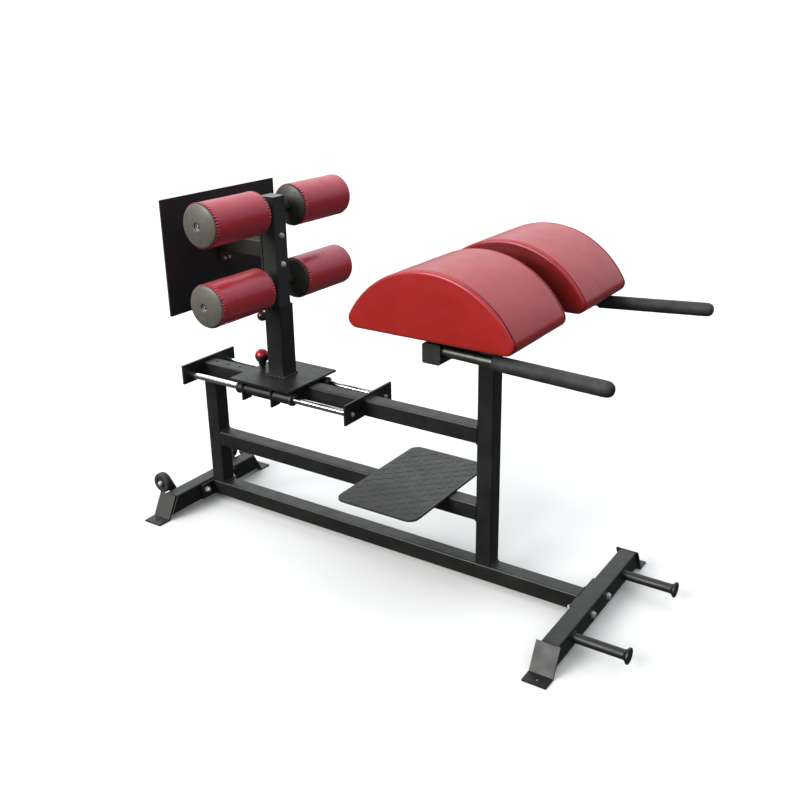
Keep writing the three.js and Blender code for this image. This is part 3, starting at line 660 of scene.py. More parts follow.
def weld_loop(solid, corners, radius=4.0):
    path = []
    for start, end in zip(corners, corners[1:] + corners[:1]):
        path += bead_points(start, end)[:-1]
    solid.sweep(path, radius, closed=True, ripple=WELD_RIPPLE)


def weld_ring(solid, centre, direction, ring_radius, radius=3.5):
    matrix = pointing(Vector(centre) * MM, direction)
    path = []
    for angle in turns(int(math.tau * ring_radius / WELD_STEP)):
        local = Vector((math.cos(angle), math.sin(angle), 0)) * ring_radius * MM
        path.append((matrix @ local) / MM)
    solid.sweep(path, radius, closed=True, ripple=WELD_RIPPLE)


def square_loop_x(x, y_half, z_low, z_high):
    return [(x, -y_half, z_low), (x, y_half, z_low), (x, y_half, z_high), (x, -y_half, z_high)]


def add_frame_welds():
    solid = Solid()

    def across(x, z, radius=4.5):
        weld_line(solid, (x, -FLAT_HALF, z), (x, FLAT_HALF, z), radius)

    for upright in ("rear_upright", "front_upright"):
        low, high = box_mm(upright)
        across(low.x, low.z)
        across(high.x, low.z)
    rear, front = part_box("rear_upright")[1].x / MM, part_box("front_upright")[0].x / MM
    top_low, top_high = (v.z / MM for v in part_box("top_rail"))
    for x in (rear, front):
        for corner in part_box("mid_rail"):
            across(x, corner.z / MM)
    across(rear, top_low)
    across(front, top_low)
    across(front, top_high)

    def up_sides(x):
        for y in (-TUBE_HALF, TUBE_HALF):
            weld_line(solid, (x, y, top_low + 4), (x, y, top_high - 6), 3.5)

    beam_low, beam_high = box_mm("pad_beam")
    for y in (-TUBE_HALF, TUBE_HALF):
        weld_line(solid, (beam_low.x + 4, y, beam_low.z), (beam_high.x - 4, y, beam_low.z))
    rail_low, rail_high = box_mm("bottom_rail")
    for x in (rail_low.x, rail_high.x):
        weld_loop(solid, square_loop_x(x, 29, rail_low.z + 1, rail_high.z - 1), 3.5)
    for corner in box_mm("front_rod_plate"):
        up_sides(corner.x)
        across(corner.x, top_high, 3.5)
    up_sides(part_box("rear_rod_plate")[1].x / MM)
    for side, sign in SIDES.items():
        horn = middle(f"storage_horn_{side}") / MM
        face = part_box(f"storage_horn_{side}")[0].x / MM
        weld_ring(solid, (face, horn.y, horn.z), (1, 0, 0), 16.5)
        for corner in box_mm(f"pad_bracket_{side}"):
            y = corner.y
            weld_line(solid, (beam_low.x + 3, y, beam_high.z), (beam_high.x - 3, y, beam_high.z), 3)
        for end in ("rear", "front"):
            add_strap_weld(solid, end, sign)
        plate_low, plate_high = box_mm(f"wheel_bracket_{side}")
        for y in (plate_low.y, plate_high.y):
            weld_line(solid, (plate_high.x, y, plate_low.z + 4), (plate_high.x, y, 84), 2.6)
    solid.piece("frame_welds", "frame_paint", "frame")


def add_strap_weld(solid, end, sign):
    """Bead where a floor strap meets the top of its foot tube."""
    tube_low, tube_high = box_mm(f"{end}_foot_tube")
    y = sign * (abs(box_mm(f"{end}_foot_strap_near")[1].y) - 1)
    z = tube_high.z - 0.8
    weld_line(solid, (tube_low.x + 5, y, z), (tube_high.x - 5, y, z), 2.4)


def add_carriage_welds():
    solid = Solid()
    low, high = box_mm("mast_sleeve")
    half = 37
    x, z = high.x - half - 0.5, low.z
    weld_loop(solid, [(x - half, -half, z), (x + half, -half, z), (x + half, half, z),
                      (x - half, half, z)], 5.8)
    pin = middle("carriage_pin") / MM
    weld_ring(solid, (pin.x, pin.y, z), (0, 0, 1), 10.5, 2.4)
    for side in SIDES:
        bush_low, bush_high = box_mm(f"slide_bush_{side}")
        for x in HANGER_XS:
            for y in (bush_low.y + 2, bush_high.y - 2):
                weld_line(solid, (x, y, bush_high.z), (x + HANGER_WIDTH, y, bush_high.z), 2.4)
    solid.piece("carriage_welds", "frame_paint", "carriage")


def add_mast_welds():
    solid = Solid()
    low, high = box_mm("foot_plate_arm")
    centre = (low.z + high.z) / 2
    for x in (low.x + 8, high.x - 8):
        weld_loop(solid, square_loop_x(x, 29, centre - 29, centre + 29), 3.4)
    solid.piece("arm_welds", "frame_paint", "mast")


# ---------- rods, bushes, horns and pins

HANGER_XS = (-565.0, -429.5)  # rear faces of the bush tubes' hangers
HANGER_WIDTH = 7


def add_guide_rods():
    for side in SIDES:
        node = f"guide_rod_{side}"
        place, length = along_node(node, (1, 0, 0))
        profile = both_ends(((0, 0), (0, 11), (1, 12)), length)
        add_turned(f"chromed_rod_{side}", profile, place, 64, "chrome_rod", "frame", hides=[node])


def add_slide_bushes():
    for side in SIDES:
        node = f"slide_bush_{side}"
        low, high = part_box(node)
        rod = middle(f"guide_rod_{side}")
        length = (high.x - low.x) / MM
        solid = Solid()
        solid.turned(both_ends(((6, 12.5), (6, 20), (7, 21)), length) + [(6, 12.5)],
                     pointing((low.x, rod.y, rod.z), (1, 0, 0)), 56)
        for x in HANGER_XS:
            outline = rounded_square((high.y - low.y) / 2 / MM, (high.z - low.z) / 2 / MM, 2.5)
            centre = Vector((x * MM, rod.y, (low.z + high.z) / 2))
            solid.prism(outline, 0, HANGER_WIDTH, pointing(centre, (1, 0, 0)), bevel=0.8)
        solid.piece(f"bush_tube_{side}", "frame_paint", "carriage", hides=[node])
        seals = Solid()
        for at, way in ((low.x, 1), (high.x, -1)):
            place = pointing((at, rod.y, rod.z), (way, 0, 0))
            seals.turned([(0, 12.6), (0, 15), (1.2, 18.5), (2.2, 22.5), (4, 23.2), (11, 23.2),
                          (12.5, 21.4), (12.5, 12.6), (0, 12.6)], place, 56)
        seals.piece(f"bush_seals_{side}", "black_plastic", "carriage")


# (distance from the tip, radius) over a storage horn's flared end
HORN_FLARE = ((19, 16), (15.5, 16.8), (12, 18.6), (9.5, 21.2), (7.8, 24.2), (6.6, 25.6), (5, 26),
              (1, 26), (0, 25), (0, 22), (1.4, 20.5), (1.8, 0))


def add_storage_horns():
    for side in SIDES:
        node = f"storage_horn_{side}"
        place, length = along_node(node, (1, 0, 0))
        profile = [(0, 13), (0, 16)] + [(length - back, radius) for back, radius in HORN_FLARE]
        add_turned(f"horn_{side}", profile, place, 56, "frame_paint", "frame", hides=[node])


def ball_profile(centre, radius, neck, steps=22):
    """(along, radius) pairs of a ball knob from its neck to its pole."""
    first = math.pi - math.asin(neck / radius)
    profile = []
    for i in range(steps + 1):
        angle = first * (1 - i / steps)
        profile.append((centre + radius * math.cos(angle), max(radius * math.sin(angle), 0)))
    profile[-1] = (centre + radius, 0)
    return profile


# (place along the pin, radius) of a knob's cup, in shares of the ball's radius from its centre
CUP_PROFILE = ((-1.0, 0.60), (-0.84, 0.73), (-0.62, 0.88), (-0.36, 0.99), (-0.10, 1.04))


def add_pull_pins():
    """Red ball knob on a bright pin, for each of the two locks; its tapered lower half is a near black
    cup that paints the shade and dark reflection under the ball.
    """
    for name, node, body, direction, radius, drop in (
            ("carriage_lock", "carriage_pin", "carriage_lock", (0, 0, 1), 25.0, 1.44),
            ("height_lock", "mast_pin", "height_lock", (-1, 0, 0), 18.0, 1.12)):
        place, length = along_node(node, direction)
        centre = length - radius
        foot, lip, ceiling = (centre + radius * share for share in (-drop, 0.16, -0.95))
        bore = radius * 0.45
        shaft = [(0, 0), (0, 4), (1.2, 5), (ceiling + 4, 5), (ceiling + 4, 0)]
        add_turned(f"{name}_shaft", shaft, place, 32, "zinc_steel", body)
        cup = [(foot, bore), (foot, bore + 1.4), (foot + 1, bore + 2)]
        cup += [(centre + radius * along, radius * wide) for along, wide in CUP_PROFILE]
        cup += [(lip - 0.8, radius * 1.03), (lip, radius * 1.015), (lip, radius * 0.96),
                (centre - radius * 0.7, radius * 0.6), (centre - radius * 0.7, 5.2),
                (ceiling, 5.2), (ceiling, bore), (foot, bore)]
        # The cup's near black colour paints the shade and dark reflection under the ball.
        add_turned(f"{name}_collar", cup, place, 48, "knob_cup", body, slot="black_plastic")
        ball = ball_profile(centre, radius, radius * 0.72)
        ball = [(ball[0][0], 0)] + ball
        add_turned(f"{name}_knob", ball, place, 56, "red_knob", body, hides=[node])


# ---------- hand rails

RAIL_ROOT = (0.330, 0.948)  # y and z, in metres, where a rail meets the pad beam
RAIL_TIP = (0.9755, 0.414, 0.966)
GRIP_START = 180.0
GRIP_RADIUS = 22.0
# (distance from the tip, radius) over the moulded end of a grip
GRIP_END = ((22, 21.8), (16, 21.0), (11, 19.5), (7, 17.3), (4.2, 14.6), (2.6, 11.8), (1.4, 8.0),
            (0.5, 4.0), (0, 0))


def add_hand_rails():
    beam_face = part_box("pad_beam")[1].x
    for side, sign in SIDES.items():
        start = Vector((beam_face, sign * RAIL_ROOT[0], RAIL_ROOT[1]))
        along = Vector((RAIL_TIP[0], sign * RAIL_TIP[1], RAIL_TIP[2])) - start
        direction, length = along.normalized(), along.length / MM
        place = pointing(start, direction)
        tube = [(1, 13.5), (1, 16), (length - 22, 16), (length - 22, 13.5)]
        add_turned(f"rail_{side}", tube, place, 48, "bare_tube", "frame", hides=[f"handle_bar_{side}"])
        collar = Solid()
        weld_ring(collar, start / MM + direction * 2, direction, 16.5, 3.2)
        collar.piece(f"rail_weld_{side}", "frame_paint", "frame")

        shape = [(GRIP_START + d, r) for d, r in ((0, 16.4), (0, 19.4), (1, 20.8), (3, 21.6))]
        shape += [(GRIP_START + 7, GRIP_RADIUS)]
        shape += [(along, GRIP_RADIUS) for along in np.linspace(GRIP_START + 20, length - 30, 24)]
        shape += [(length - back, radius) for back, radius in GRIP_END]
        grip = add_turned(f"grip_{side}", shape, place, 56, "grip_foam", "frame",
                          hides=[f"handle_grip_{side}"])
        roughen(grip, 0.02, 0.00035)


def roughen(piece, size, depth):
    """Moves each vertex along its normal by slow noise, so that a soft form isn't perfect."""
    vertices = piece.data.vertices
    moved = [v.co + v.normal * (noise.noise(v.co / size) * depth) for v in vertices]
    vertices.foreach_set("co", np.array(moved, np.float32).ravel())
    piece.data.update()


# ---------- wheels

WHEEL_HALF = 14
# (distance from the side, radius) round a tyre's shoulder
TYRE_SHOULDER = ((0, 24), (0, 33), (0.6, 35.5), (2.5, 38), (5, 39.4), (8, 40))


def add_wheels():
    half, bore = WHEEL_HALF, 5.4
    hub_profile = [(1 - half, bore), (1 - half, 11), (4 - half, 12.5), (4 - half, 22),
                   (1.5 - half, 23.8), (1.5 - half, 24.2), (half - 1.5, 24.2), (half - 1.5, 23.8),
                   (half - 4, 22), (half - 4, 12.5), (half - 0.5, 11), (half - 0.5, bore),
                   (1 - half, bore)]
    for side, sign in SIDES.items():
        node = f"wheel_{side}"
        body = f"transport_wheel_{side}"
        place = pointing(middle(node), (0, sign, 0))
        tyre = both_ends(TYRE_SHOULDER, half, -half) + [(-half, 24)]
        add_turned(f"tyre_{side}", tyre, place, 72, "wheel_rubber", body, hides=[node])
        hub = Solid()
        hub.turned(hub_profile, place, 64)
        for angle in turns(5):
            spoke = Matrix.Rotation(angle, 4, "Z") @ Matrix.Translation((0.017, 0, 0))
            hub.prism(rounded_square(6, 1.8, 1.2, 3), 2.2 - half, half - 2.2, place @ spoke, bevel=0.5)
        hub.piece(f"hub_{side}", "black_plastic", body)


# ---------- tread plate

TREAD_PITCH = 27.5
TREAD_HALF_LENGTH = 15.0
TREAD_HALF_WIDTH = 3.6
TREAD_HEIGHT = 1.5
TREAD_MARGIN = 20
TREAD_CORNER = 35  # radius inside which bars near the plate's corners are left out


def tread_bar(solid, place, angle):
    """A raised lens-shaped bar of the tread plate, centred at a millimetre point."""
    turn = Matrix.Rotation(angle, 4, "Z")
    levels = []
    for height, share in ((0.0, 1.0), (0.6, 0.86), (1.0, 0.42)):
        reach = TREAD_HALF_LENGTH * (1 - 0.18 * (1 - share))
        ring = []
        for t in turns(24):
            along = math.cos(t)
            width = TREAD_HALF_WIDTH * math.sin(t) * (1 - 0.25 * along * along)
            local = turn @ Vector((along * reach, width * share, height * TREAD_HEIGHT))
            ring.append((local + place) * MM)
        levels.append(ring)
    verts, rings = stacked(levels)
    solid.take(verts, ring_faces(rings, 24) + [rings[0][::-1], rings[-1]])


def add_tread():
    low, high = box_mm("step_plate")
    columns, rows = (int((high[i] - low[i] - 2 * TREAD_MARGIN) / TREAD_PITCH) + 1 for i in (0, 1))
    first_x = (low.x + high.x - (columns - 1) * TREAD_PITCH) / 2
    first_y = -(rows - 1) * TREAD_PITCH / 2
    solid = Solid()
    for column in range(columns):
        for row in range(rows):
            x, y = first_x + column * TREAD_PITCH, first_y + row * TREAD_PITCH
            dx = max(low.x + TREAD_CORNER - x, x - high.x + TREAD_CORNER, 0)
            dy = max(low.y + TREAD_CORNER - y, y - high.y + TREAD_CORNER, 0)
            if math.hypot(dx, dy) > TREAD_CORNER - 12:
                continue
            angle = math.pi / 4 if (column + row) % 2 else -math.pi / 4
            tread_bar(solid, Vector((x, y, high.z - 0.2)), angle)
    solid.piece("tread_bars", "tread_paint", "frame", sharp=30)


# ---------- soft parts: shared

VOXEL = 0.006
CLOTH_STEPS = 20
CLOTH = {"quality": 5, "mass": 0.25, "tension_stiffness": 25, "compression_stiffness": 25,
         "shear_stiffness": 12, "bending_stiffness": 8, "use_pressure": True,
         "uniform_pressure_force": 4.0}


def inflate(name, verts, faces, held, cap):
    """Remeshes a closed form in voxels, lets it swell as cloth while the vertices that held()
    picks stay, and returns a tree of its vertices with how far each moved, in metres, at most
    cap."""
    mesh = bpy.data.meshes.new(name)
    mesh.from_pydata([tuple(v) for v in verts], [], [tuple(f) for f in faces])
    body = add_object(name, mesh)
    remesh = body.modifiers.new("voxels", "REMESH")
    remesh.mode = "VOXEL"
    remesh.voxel_size = VOXEL
    body.data = bpy.data.meshes.new_from_object(evaluated(body))
    body.modifiers.clear()
    before = vertex_places(body.data)
    group = body.vertex_groups.new(name="held")
    group.add([i for i, place in enumerate(before) if held(place)], 1.0, "REPLACE")
    cloth = body.modifiers.new("cloth", "CLOTH")
    for key, value in CLOTH.items():
        setattr(cloth.settings, key, value)
    cloth.settings.vertex_group_mass = "held"
    cloth.settings.effector_weights.gravity = 0
    cloth.point_cache.frame_start = 1
    cloth.point_cache.frame_end = CLOTH_STEPS
    for step in range(1, CLOTH_STEPS + 1):
        scene.frame_set(step)
    shift = vertex_places(evaluated(body).to_mesh()) - before
    reach = np.linalg.norm(shift, axis=1, keepdims=True)
    shift *= np.minimum(1, cap / np.maximum(reach, 1e-9))
    scene.frame_set(1)
    tree = kdtree.KDTree(len(before))
    for i, place in enumerate(before):
        tree.insert(place, i)
    tree.balance()
    bpy.data.objects.remove(body)
    return tree, shift


def evaluated(thing):
    return thing.evaluated_get(bpy.context.evaluated_depsgraph_get())


def vertex_places(mesh):
    places = np.zeros(len(mesh.vertices) * 3, np.float32)
    mesh.vertices.foreach_get("co", places)
    return places.reshape(-1, 3).astype(float)


def follow(swelling, verts, neighbours=48):
    """The smoothed movement, in metres, that a swelling gives to each of some other vertices."""
    if swelling is None:
        return np.zeros((len(verts), 3))
    tree, shift = swelling
    moves = []
    for place in verts:
        found = tree.find_n(Vector(place), neighbours)
        widest = found[-1][2] + 1e-6
        weights = np.array([(1 - (distance / widest) ** 2) ** 2 for _, _, distance in found])
        rows = shift[[index for _, index, _ in found]]
        moves.append(weights @ rows / weights.sum())
    return np.array(moves)


def soften(piece, size):
    """Uneven surface and one level of subdivision."""
    roughen(piece, size, 0.0006)
    modifier = piece.modifiers.new("fine", "SUBSURF")
    modifier.levels = modifier.render_levels = 1


# ---------- thigh pads

PAD_CORNER = 28.0
PAD_POINT_STEP = 8.0
PAD_SEAM = 12.0  # distance of the sewn seam from the side face
SEAM_HALF = 3.0  # half of the seam's width; on the pad's base it isn't sunk
PAD_SHRINK = 4.0  # room for the swelling inside the CAD pad
# How far the outline is pulled in at each distance from the side face; the dip is the seam.
PAD_EDGE = ((0.0, 8.6), (0.6, 5.6), (2.2, 2.9), (4.6, 0.9), (6.8, 0.0), (8.6, 0.0), (9.9, 1.3),
            (10.9, 4.2), (PAD_SEAM, 7.0), (13.1, 4.2), (14.1, 1.3), (15.4, 0.0), (19.0, 0.0))
SIDE_SWELL = 0.30  # share of the simulated swelling that the stretched side faces keep


def pad_outline(length, height):
    """Points of the half-moon in millimetres, their outward normals, and 1 on the crown or 0 on
    the base. Counter-clockwise from the base's left end."""
    corner = PAD_CORNER
    reach = length / 2 - corner
    crown = (reach ** 2 + (height - corner) ** 2 - corner ** 2) / (2 * (height - 2 * corner))
    centre = height - crown
    touch = math.atan2(corner - centre, reach)
    points, normals, covered = [], [], []

    def arc(cx, cz, radius, first, last):
        count = max(int(abs(last - first) * radius / PAD_POINT_STEP), 8)
        for i in range(count):
            angle = first + (last - first) * i / count
            way = (math.cos(angle), math.sin(angle))
            points.append((cx + radius * way[0], cz + radius * way[1]))
            normals.append(way)
            covered.append(min(1.0, max(0.0, 2.5 * (points[-1][1] / corner) - 0.1)))

    base_count = int(2 * reach / PAD_POINT_STEP)
    for i in range(base_count):
        points.append((-reach + 2 * reach * i / base_count, 0.0))
        normals.append((0.0, -1.0))
        covered.append(0.0)
    arc(reach, corner, corner, -math.pi / 2, touch)
    arc(0, centre, crown, touch, math.pi - touch)
    arc(-reach, corner, corner, math.pi - touch, 1.5 * math.pi)
    return np.array(points), np.array(normals), np.array(covered)


def pad_surface(outline, normals, covered, stations, height):
    """Closed pad mesh from side face to side face; stations are (distance, inset) pairs. Returns
    vertices in millimetres and faces."""
    centre = np.array([[0.0, height * 0.42]])
    first_y, last_y = stations[0][0], stations[-1][0]
    edge = outline - normals * stations[0][1]
    side_face = [centre] + [centre + (edge - centre) * share for share in np.linspace(0.12, 0.95, 10)]
    flats = [(first_y, flat) for flat in side_face]
    for y, inset in stations:
        in_seam = abs(min(y, last_y - y) - PAD_SEAM) < SEAM_HALF
        groove = covered[:, None] if in_seam else 1.0
        flats.append((y, outline - normals * (inset * groove)))
    flats += [(last_y, flat) for flat in side_face[::-1]]
    verts, rings = stacked([[(x, y, z) for x, z in flat] for y, flat in flats])
    return np.array(verts), ring_faces(rings, len(outline))


def add_thigh_pads():
    low, high = box_mm("thigh_pad_near")
    length, width, height = high.x - low.x, high.y - low.y, high.z - low.z
    outline, normals, covered = pad_outline(length - PAD_SHRINK, height - PAD_SHRINK / 2)
    inner = [(y, 0.0) for y in np.arange(26.0, width - 25.0, 9.0)]
    plain = both_ends(((0, 8), (3, 2), (PAD_SEAM, 0)), width, middle=inner)
    verts, faces = pad_surface(outline, normals, covered, plain, height)

    def held(place):
        """The base, and the crown's rim where the seam runs."""
        x, y, z = place
        from_side = min(y, width * MM - y) / MM
        from_rim = np.min(np.linalg.norm(outline * MM - np.array([x, z]), axis=1))
        return z < 0.003 or abs(from_side - PAD_SEAM) < 4.0 and from_rim < 0.009

    swelling = inflate("pad_cloth", verts * MM, faces, held, cap=0.0065)
    fine = both_ends(PAD_EDGE, width, middle=inner)
    verts, faces = pad_surface(outline, normals, covered, fine, height)
    moves = even_out(follow(swelling, verts * MM) / MM, normals, covered)
    from_side = np.minimum(verts[:, 1], width - verts[:, 1])
    share = np.interp(from_side, (0.0, 9.0, PAD_SEAM), (SIDE_SWELL, SIDE_SWELL, 1.0))
    verts = verts + moves * share[:, None]
    seam_bottom = outline - normals * STITCH_DEPTH
    crown = [Vector(p) for p, c in zip(seam_bottom, covered) if c > 0.9]
    for side in SIDES:
        box_low = box_mm(f"thigh_pad_{side}")[0]
        offset = np.array([(low.x + high.x) / 2, box_low.y, box_low.z + 1.2])
        cover = add_piece(f"pad_cover_{side}", (verts + offset) * MM, faces, "red_vinyl", "frame",
                          sharp=180, hides=[f"thigh_pad_{side}"])
        soften(cover, 0.06)
        stitches = Solid()
        for y in (PAD_SEAM, width - PAD_SEAM):
            add_seam_stitches(stitches, crown, offset + np.array([0, y, 0]))
        stitches.piece(f"pad_stitches_{side}", "thread", "frame", slot="red_vinyl", sharp=60)
        add_pad_backing(side)


def even_out(moves, normals, covered, reach=5):
    """Averages a pad's movement along each of its rings, off the outline and sideways."""
    rings = moves[1:-1].reshape(-1, len(normals), 3)
    weights = np.hanning(2 * reach + 3)[1:-1]
    weights /= weights.sum()

    def smooth(values):
        return sum(w * np.roll(values, i - reach, axis=1) for i, w in enumerate(weights))

    off = smooth(rings[..., 0] * normals[:, 0] + rings[..., 2] * normals[:, 1]) * covered
    level = smooth(rings[..., 1])
    even = np.stack([off * normals[:, 0], level, off * normals[:, 1]], axis=-1)
    return np.concatenate([moves[:1], even.reshape(-1, 3), moves[-1:]])


STITCH_PITCH = 6.0
STITCH_LENGTH = 4.8
STITCH_DEPTH = 4.2  # below the pad's outline


def add_seam_stitches(solid, crown, offset):
    """Short thread loops laid in the seam, over the crown only; their near black colour is painted shade
    for the seam's groove.
    """
    travelled = 0.0
    for a, b in zip(crown, crown[1:]):
        span = (b - a).length
        along = (b - a) / span
        lift = Vector((-along.y, along.x)) * -0.5
        while travelled < span:
            start = a + along * travelled
            end = start + along * STITCH_LENGTH
            points = (start - lift, (start + end) / 2 + lift * 1.4, end - lift)
            solid.sweep([(p.x + offset[0], offset[1], p.y + offset[2]) for p in points], 0.95, sides=6)
            travelled += STITCH_PITCH
        travelled -= span


BACKING_MARGIN = 34


def add_pad_backing(side):
    """Black backing cloth stapled under a pad."""
    low, high = box_mm(f"thigh_pad_{side}")
    half_x = (high.x - low.x) / 2 - BACKING_MARGIN - 12
    half_y = (high.y - low.y) / 2 - BACKING_MARGIN
    centre = Vector(((low.x + high.x) / 2, (low.y + high.y) / 2, 0)) * MM
    sheet = Solid()
    sheet.prism(rounded_square(half_x, half_y, 10), low.z + 0.4, low.z + 1.6,
                Matrix.Translation(centre), bevel=0.3)
    sheet.piece(f"pad_backing_{side}", "backing", "frame", slot="black_plastic")
    staples = Solid()
    for x, y, turn in staple_places(half_x - 6, half_y - 6):
        spot = Matrix.Translation(centre + Vector((x, y, 0)) * MM) @ Matrix.Rotation(turn, 4, "Z")
        staples.prism(rounded_square(5, 0.6, 0.5, 2), low.z + 0.05, low.z + 0.7, spot)
    staples.piece(f"pad_staples_{side}", "zinc_steel", "frame")


def staple_places(half_x, half_y, pitch=38):
    """(x, y, turn) of staples along the four sides of a rectangle."""
    def spread(half):
        count = int(2 * half / pitch) + 1
        return [-half + (i + 0.5) * 2 * half / count for i in range(count)]

    return ([(x, y, 0) for x in spread(half_x) for y in (-half_y, half_y)]
            + [(x, y, math.pi / 2) for y in spread(half_y) for x in (-half_x, half_x)])


# ---------- ankle rollers

ROLLER_RADIUS = 75.0
ROLLER_SEGMENTS = 264
ROLLER_RIM = 15.5  # how far the cover's ends lie inside the ends of the roller
GATHERS = 44
# (distance from the cover's end, radius) over the gathered rim
RIM_PROFILE = ((9.0, 69.6), (4.0, 70.6), (1.2, 71.9), (0.0, 73.2), (0.3, 74.4), (1.6, 75.4),
               (4.0, 75.9), (7.0, 75.7), (10.5, 75.2), (14.5, 75.0))
GATHER_DEPTH = 5.4
GATHER_PULL = 6.4  # how far a crease draws the rim back along the roller
GATHER_REACH = 9.0
RIM_INSIDE = 71  # up to this radius the rim lies behind the cap and stays as it is


def pucker(angle, seed):
    """0 to 1: depth of the gathers at an angle round a rim, uneven and sharp-bottomed."""
    around = Vector((math.cos(angle), math.sin(angle), 0))
    phase = GATHERS * angle + 2.4 * noise.noise(around * 1.7 + Vector((0, 0, seed)))
    depth = 0.62 + 0.75 * noise.noise(around * 6 + Vector((0, 0, seed + 5)))
    return (1 - abs(math.sin(phase / 2)) ** 0.8) * depth


def roller_surface(length, seed=None):
    """Vertices and rings of the cover. It is open at neither end: its rims turn in behind the
    caps and meet in a closed loop. Without a seed its rims have no gathers."""
    inner = [(along, ROLLER_RADIUS) for along in np.arange(20.0, length - 19.0, 8.0)]
    levels = []
    for along, radius in both_ends(RIM_PROFILE, length, middle=inner):
        first = along < length / 2
        from_end = along if first else length - along
        strength = math.exp(-((from_end - 1.0) / GATHER_REACH) ** 2)
        gathered = seed is not None and radius > RIM_INSIDE and strength > 0.01
        ring = []
        for angle in turns(ROLLER_SEGMENTS):
            dent = strength * pucker(angle, seed if first else seed + 11) if gathered else 0.0
            r = radius - GATHER_DEPTH * dent
            shift = GATHER_PULL * dent if first else -GATHER_PULL * dent
            ring.append((r * math.cos(angle), r * math.sin(angle), along + shift))
        levels.append(ring)
    verts, rings = stacked(levels)
    return np.array(verts), rings


def roller_swelling(length):
    """Simulated swelling of a plain roller that is held at both ends, along local Z."""
    radius = ROLLER_RADIUS - 1.2
    solid = Solid()
    solid.turned([(0, 0)] + [(along, radius) for along in np.linspace(0, length, 17)] + [(length, 0)],
                 segments=64)

    def held(place):
        return min(place[2], length * MM - place[2]) < 0.009

    return inflate("roller_cloth", solid.verts, solid.faces, held, cap=0.003)


def add_rollers():
    low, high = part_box("ankle_roller_upper_near")
    length = (high.y - low.y) / MM - 2 * ROLLER_RIM
    plain, _ = roller_surface(length)
    grown = follow(roller_swelling(length), plain * MM, 24) / MM
    grown[np.linalg.norm(plain[:, :2], axis=1) < RIM_INSIDE] = 0.0
    seed = 0
    for level in LEVELS:
        for side, sign in SIDES.items():
            seed += 20
            add_roller(f"{level}_{side}", sign, length, grown, seed)


def add_roller(name, sign, length, grown, seed):
    node, body = f"ankle_roller_{name}", f"roller_{name}"
    low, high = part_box(node)
    centre = (low + high) / 2
    inner_y, outer_y = (low.y, high.y) if sign > 0 else (high.y, low.y)
    place = pointing((centre.x, inner_y + sign * ROLLER_RIM * MM, centre.z), (0, sign, 0), seed)
    verts, rings = roller_surface(length, seed)
    verts += grown
    verts[:, :2] *= 1 - 0.6 / ROLLER_RADIUS
    solid = Solid()
    solid.take(verts * MM, ring_faces(rings + rings[:1], ROLLER_SEGMENTS), place)
    # The rollers' vinyl is a lighter copy of the pads' vinyl: painted light.
    cover = solid.piece(f"roller_cover_{name}", "roller_vinyl", body, slot="red_vinyl", sharp=180,
                        hides=[node])
    soften(cover, 0.035)
    outer = pointing((centre.x, outer_y, centre.z), (0, sign, 0))
    inner = pointing((centre.x, inner_y, centre.z), (0, -sign, 0))
    add_cap(f"roller_outer_cap_{name}", "roller_cap", body, outer, 11.6)
    # The inner cap's darker plastic is painted shade.
    add_cap(f"roller_inner_cap_{name}", "inner_cap", body, inner, 13.2)
    # The screw's darker steel is painted shade for its well.
    add_turned(f"roller_screw_{name}", SCREW_PROFILE, outer @ Matrix.Rotation(0.7, 4, "Z"), 36,
               "dark_screw", "mast", slot="zinc_steel")


CAP_EDGE = 64.0
CAP_DOME = 9.5
# (distance from the roller's end, radius) from behind the cover's rim round a cap's shoulder
CAP_SHOULDER = ((-24.0, 66.0), (-20.5, 68.6), (-18.0, 70.4), (-16.0, 71.2), (-14.2, 71.0),
                (-12.6, 69.8), (-11.3, 68.0), (-10.3, 65.9))
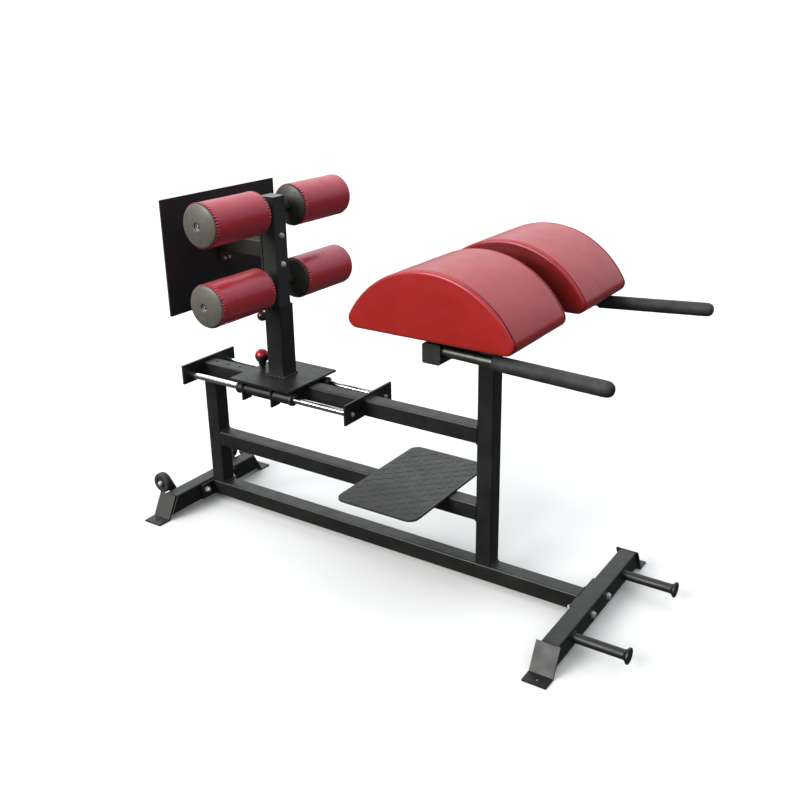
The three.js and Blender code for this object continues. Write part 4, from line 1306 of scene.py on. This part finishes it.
# The same pairs for the socket screw in the middle of an outer cap
SCREW_PROFILE = ((-9, 0), (-9, 9.0), (-7.4, 9.0), (-7.0, 8.4), (-7.0, 6.6), (-5.4, 6.3), (-4.2, 5.6),
                 (-3.7, 4.6), (-3.8, 3.7), (-7.6, 3.4), (-7.6, 0))


def cap_height(radius):
    """How far a cap's domed face lies behind its apex, in millimetres, as a negative number."""
    return -CAP_DOME * (radius / CAP_EDGE) ** 2


def add_cap(name, material, body, place, hub):
    """Domed plastic cap on a roller's end, with a well of the hub's radius in its middle."""
    radii = [CAP_EDGE + (hub + 2.5 - CAP_EDGE) * i / 12 for i in range(13)]
    profile = [(-24, 0), *CAP_SHOULDER] + [(cap_height(radius), radius) for radius in radii]
    profile += [(cap_height(hub) - 1.2, hub + 0.8), (-3.6, hub), (-12, hub), (-12, 0)]
    add_turned(name, profile, place, 96, material, body, slot="black_plastic")


def add_axles():
    """Bright axle with a black spacer between the mast and each roller."""
    mast_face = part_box("mast_tube")[1].y / MM
    for level in LEVELS:
        node = f"roller_axle_{level}"
        place, length = along_node(node, (0, 1, 0))
        profile = both_ends(((0, 0), (0, 11.5), (1, 12.5)), length)
        add_turned(f"axle_{level}", profile, place, 48, "zinc_steel", "mast", hides=[node])
        centre = middle(node)
        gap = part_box(f"ankle_roller_{level}_far")[0].y / MM - mast_face
        spacers = Solid()
        for sign in SIDES.values():
            at = pointing((centre.x, sign * mast_face * MM, centre.z), (0, sign, 0))
            spacers.turned([(0.3, 12.7), (0.3, 17), (1.2, 18), (gap - 2.4, 18), (gap - 1.2, 17),
                            (gap - 1.2, 12.7), (0.3, 12.7)], at, 48)
        spacers.piece(f"axle_spacers_{level}", "black_plastic", "mast")


# ---------- build

scene.view_settings.view_transform = "Standard"
add_camera()
add_lights()
add_floor()
finish_cad_nodes()
add_bolts()
add_plate_screws()
add_frame_welds()
add_carriage_welds()
add_mast_welds()
add_guide_rods()
add_slide_bushes()
add_storage_horns()
add_pull_pins()
add_hand_rails()
add_wheels()
add_tread()
add_thigh_pads()
add_rollers()
add_axles()

bpy.context.view_layer.update()
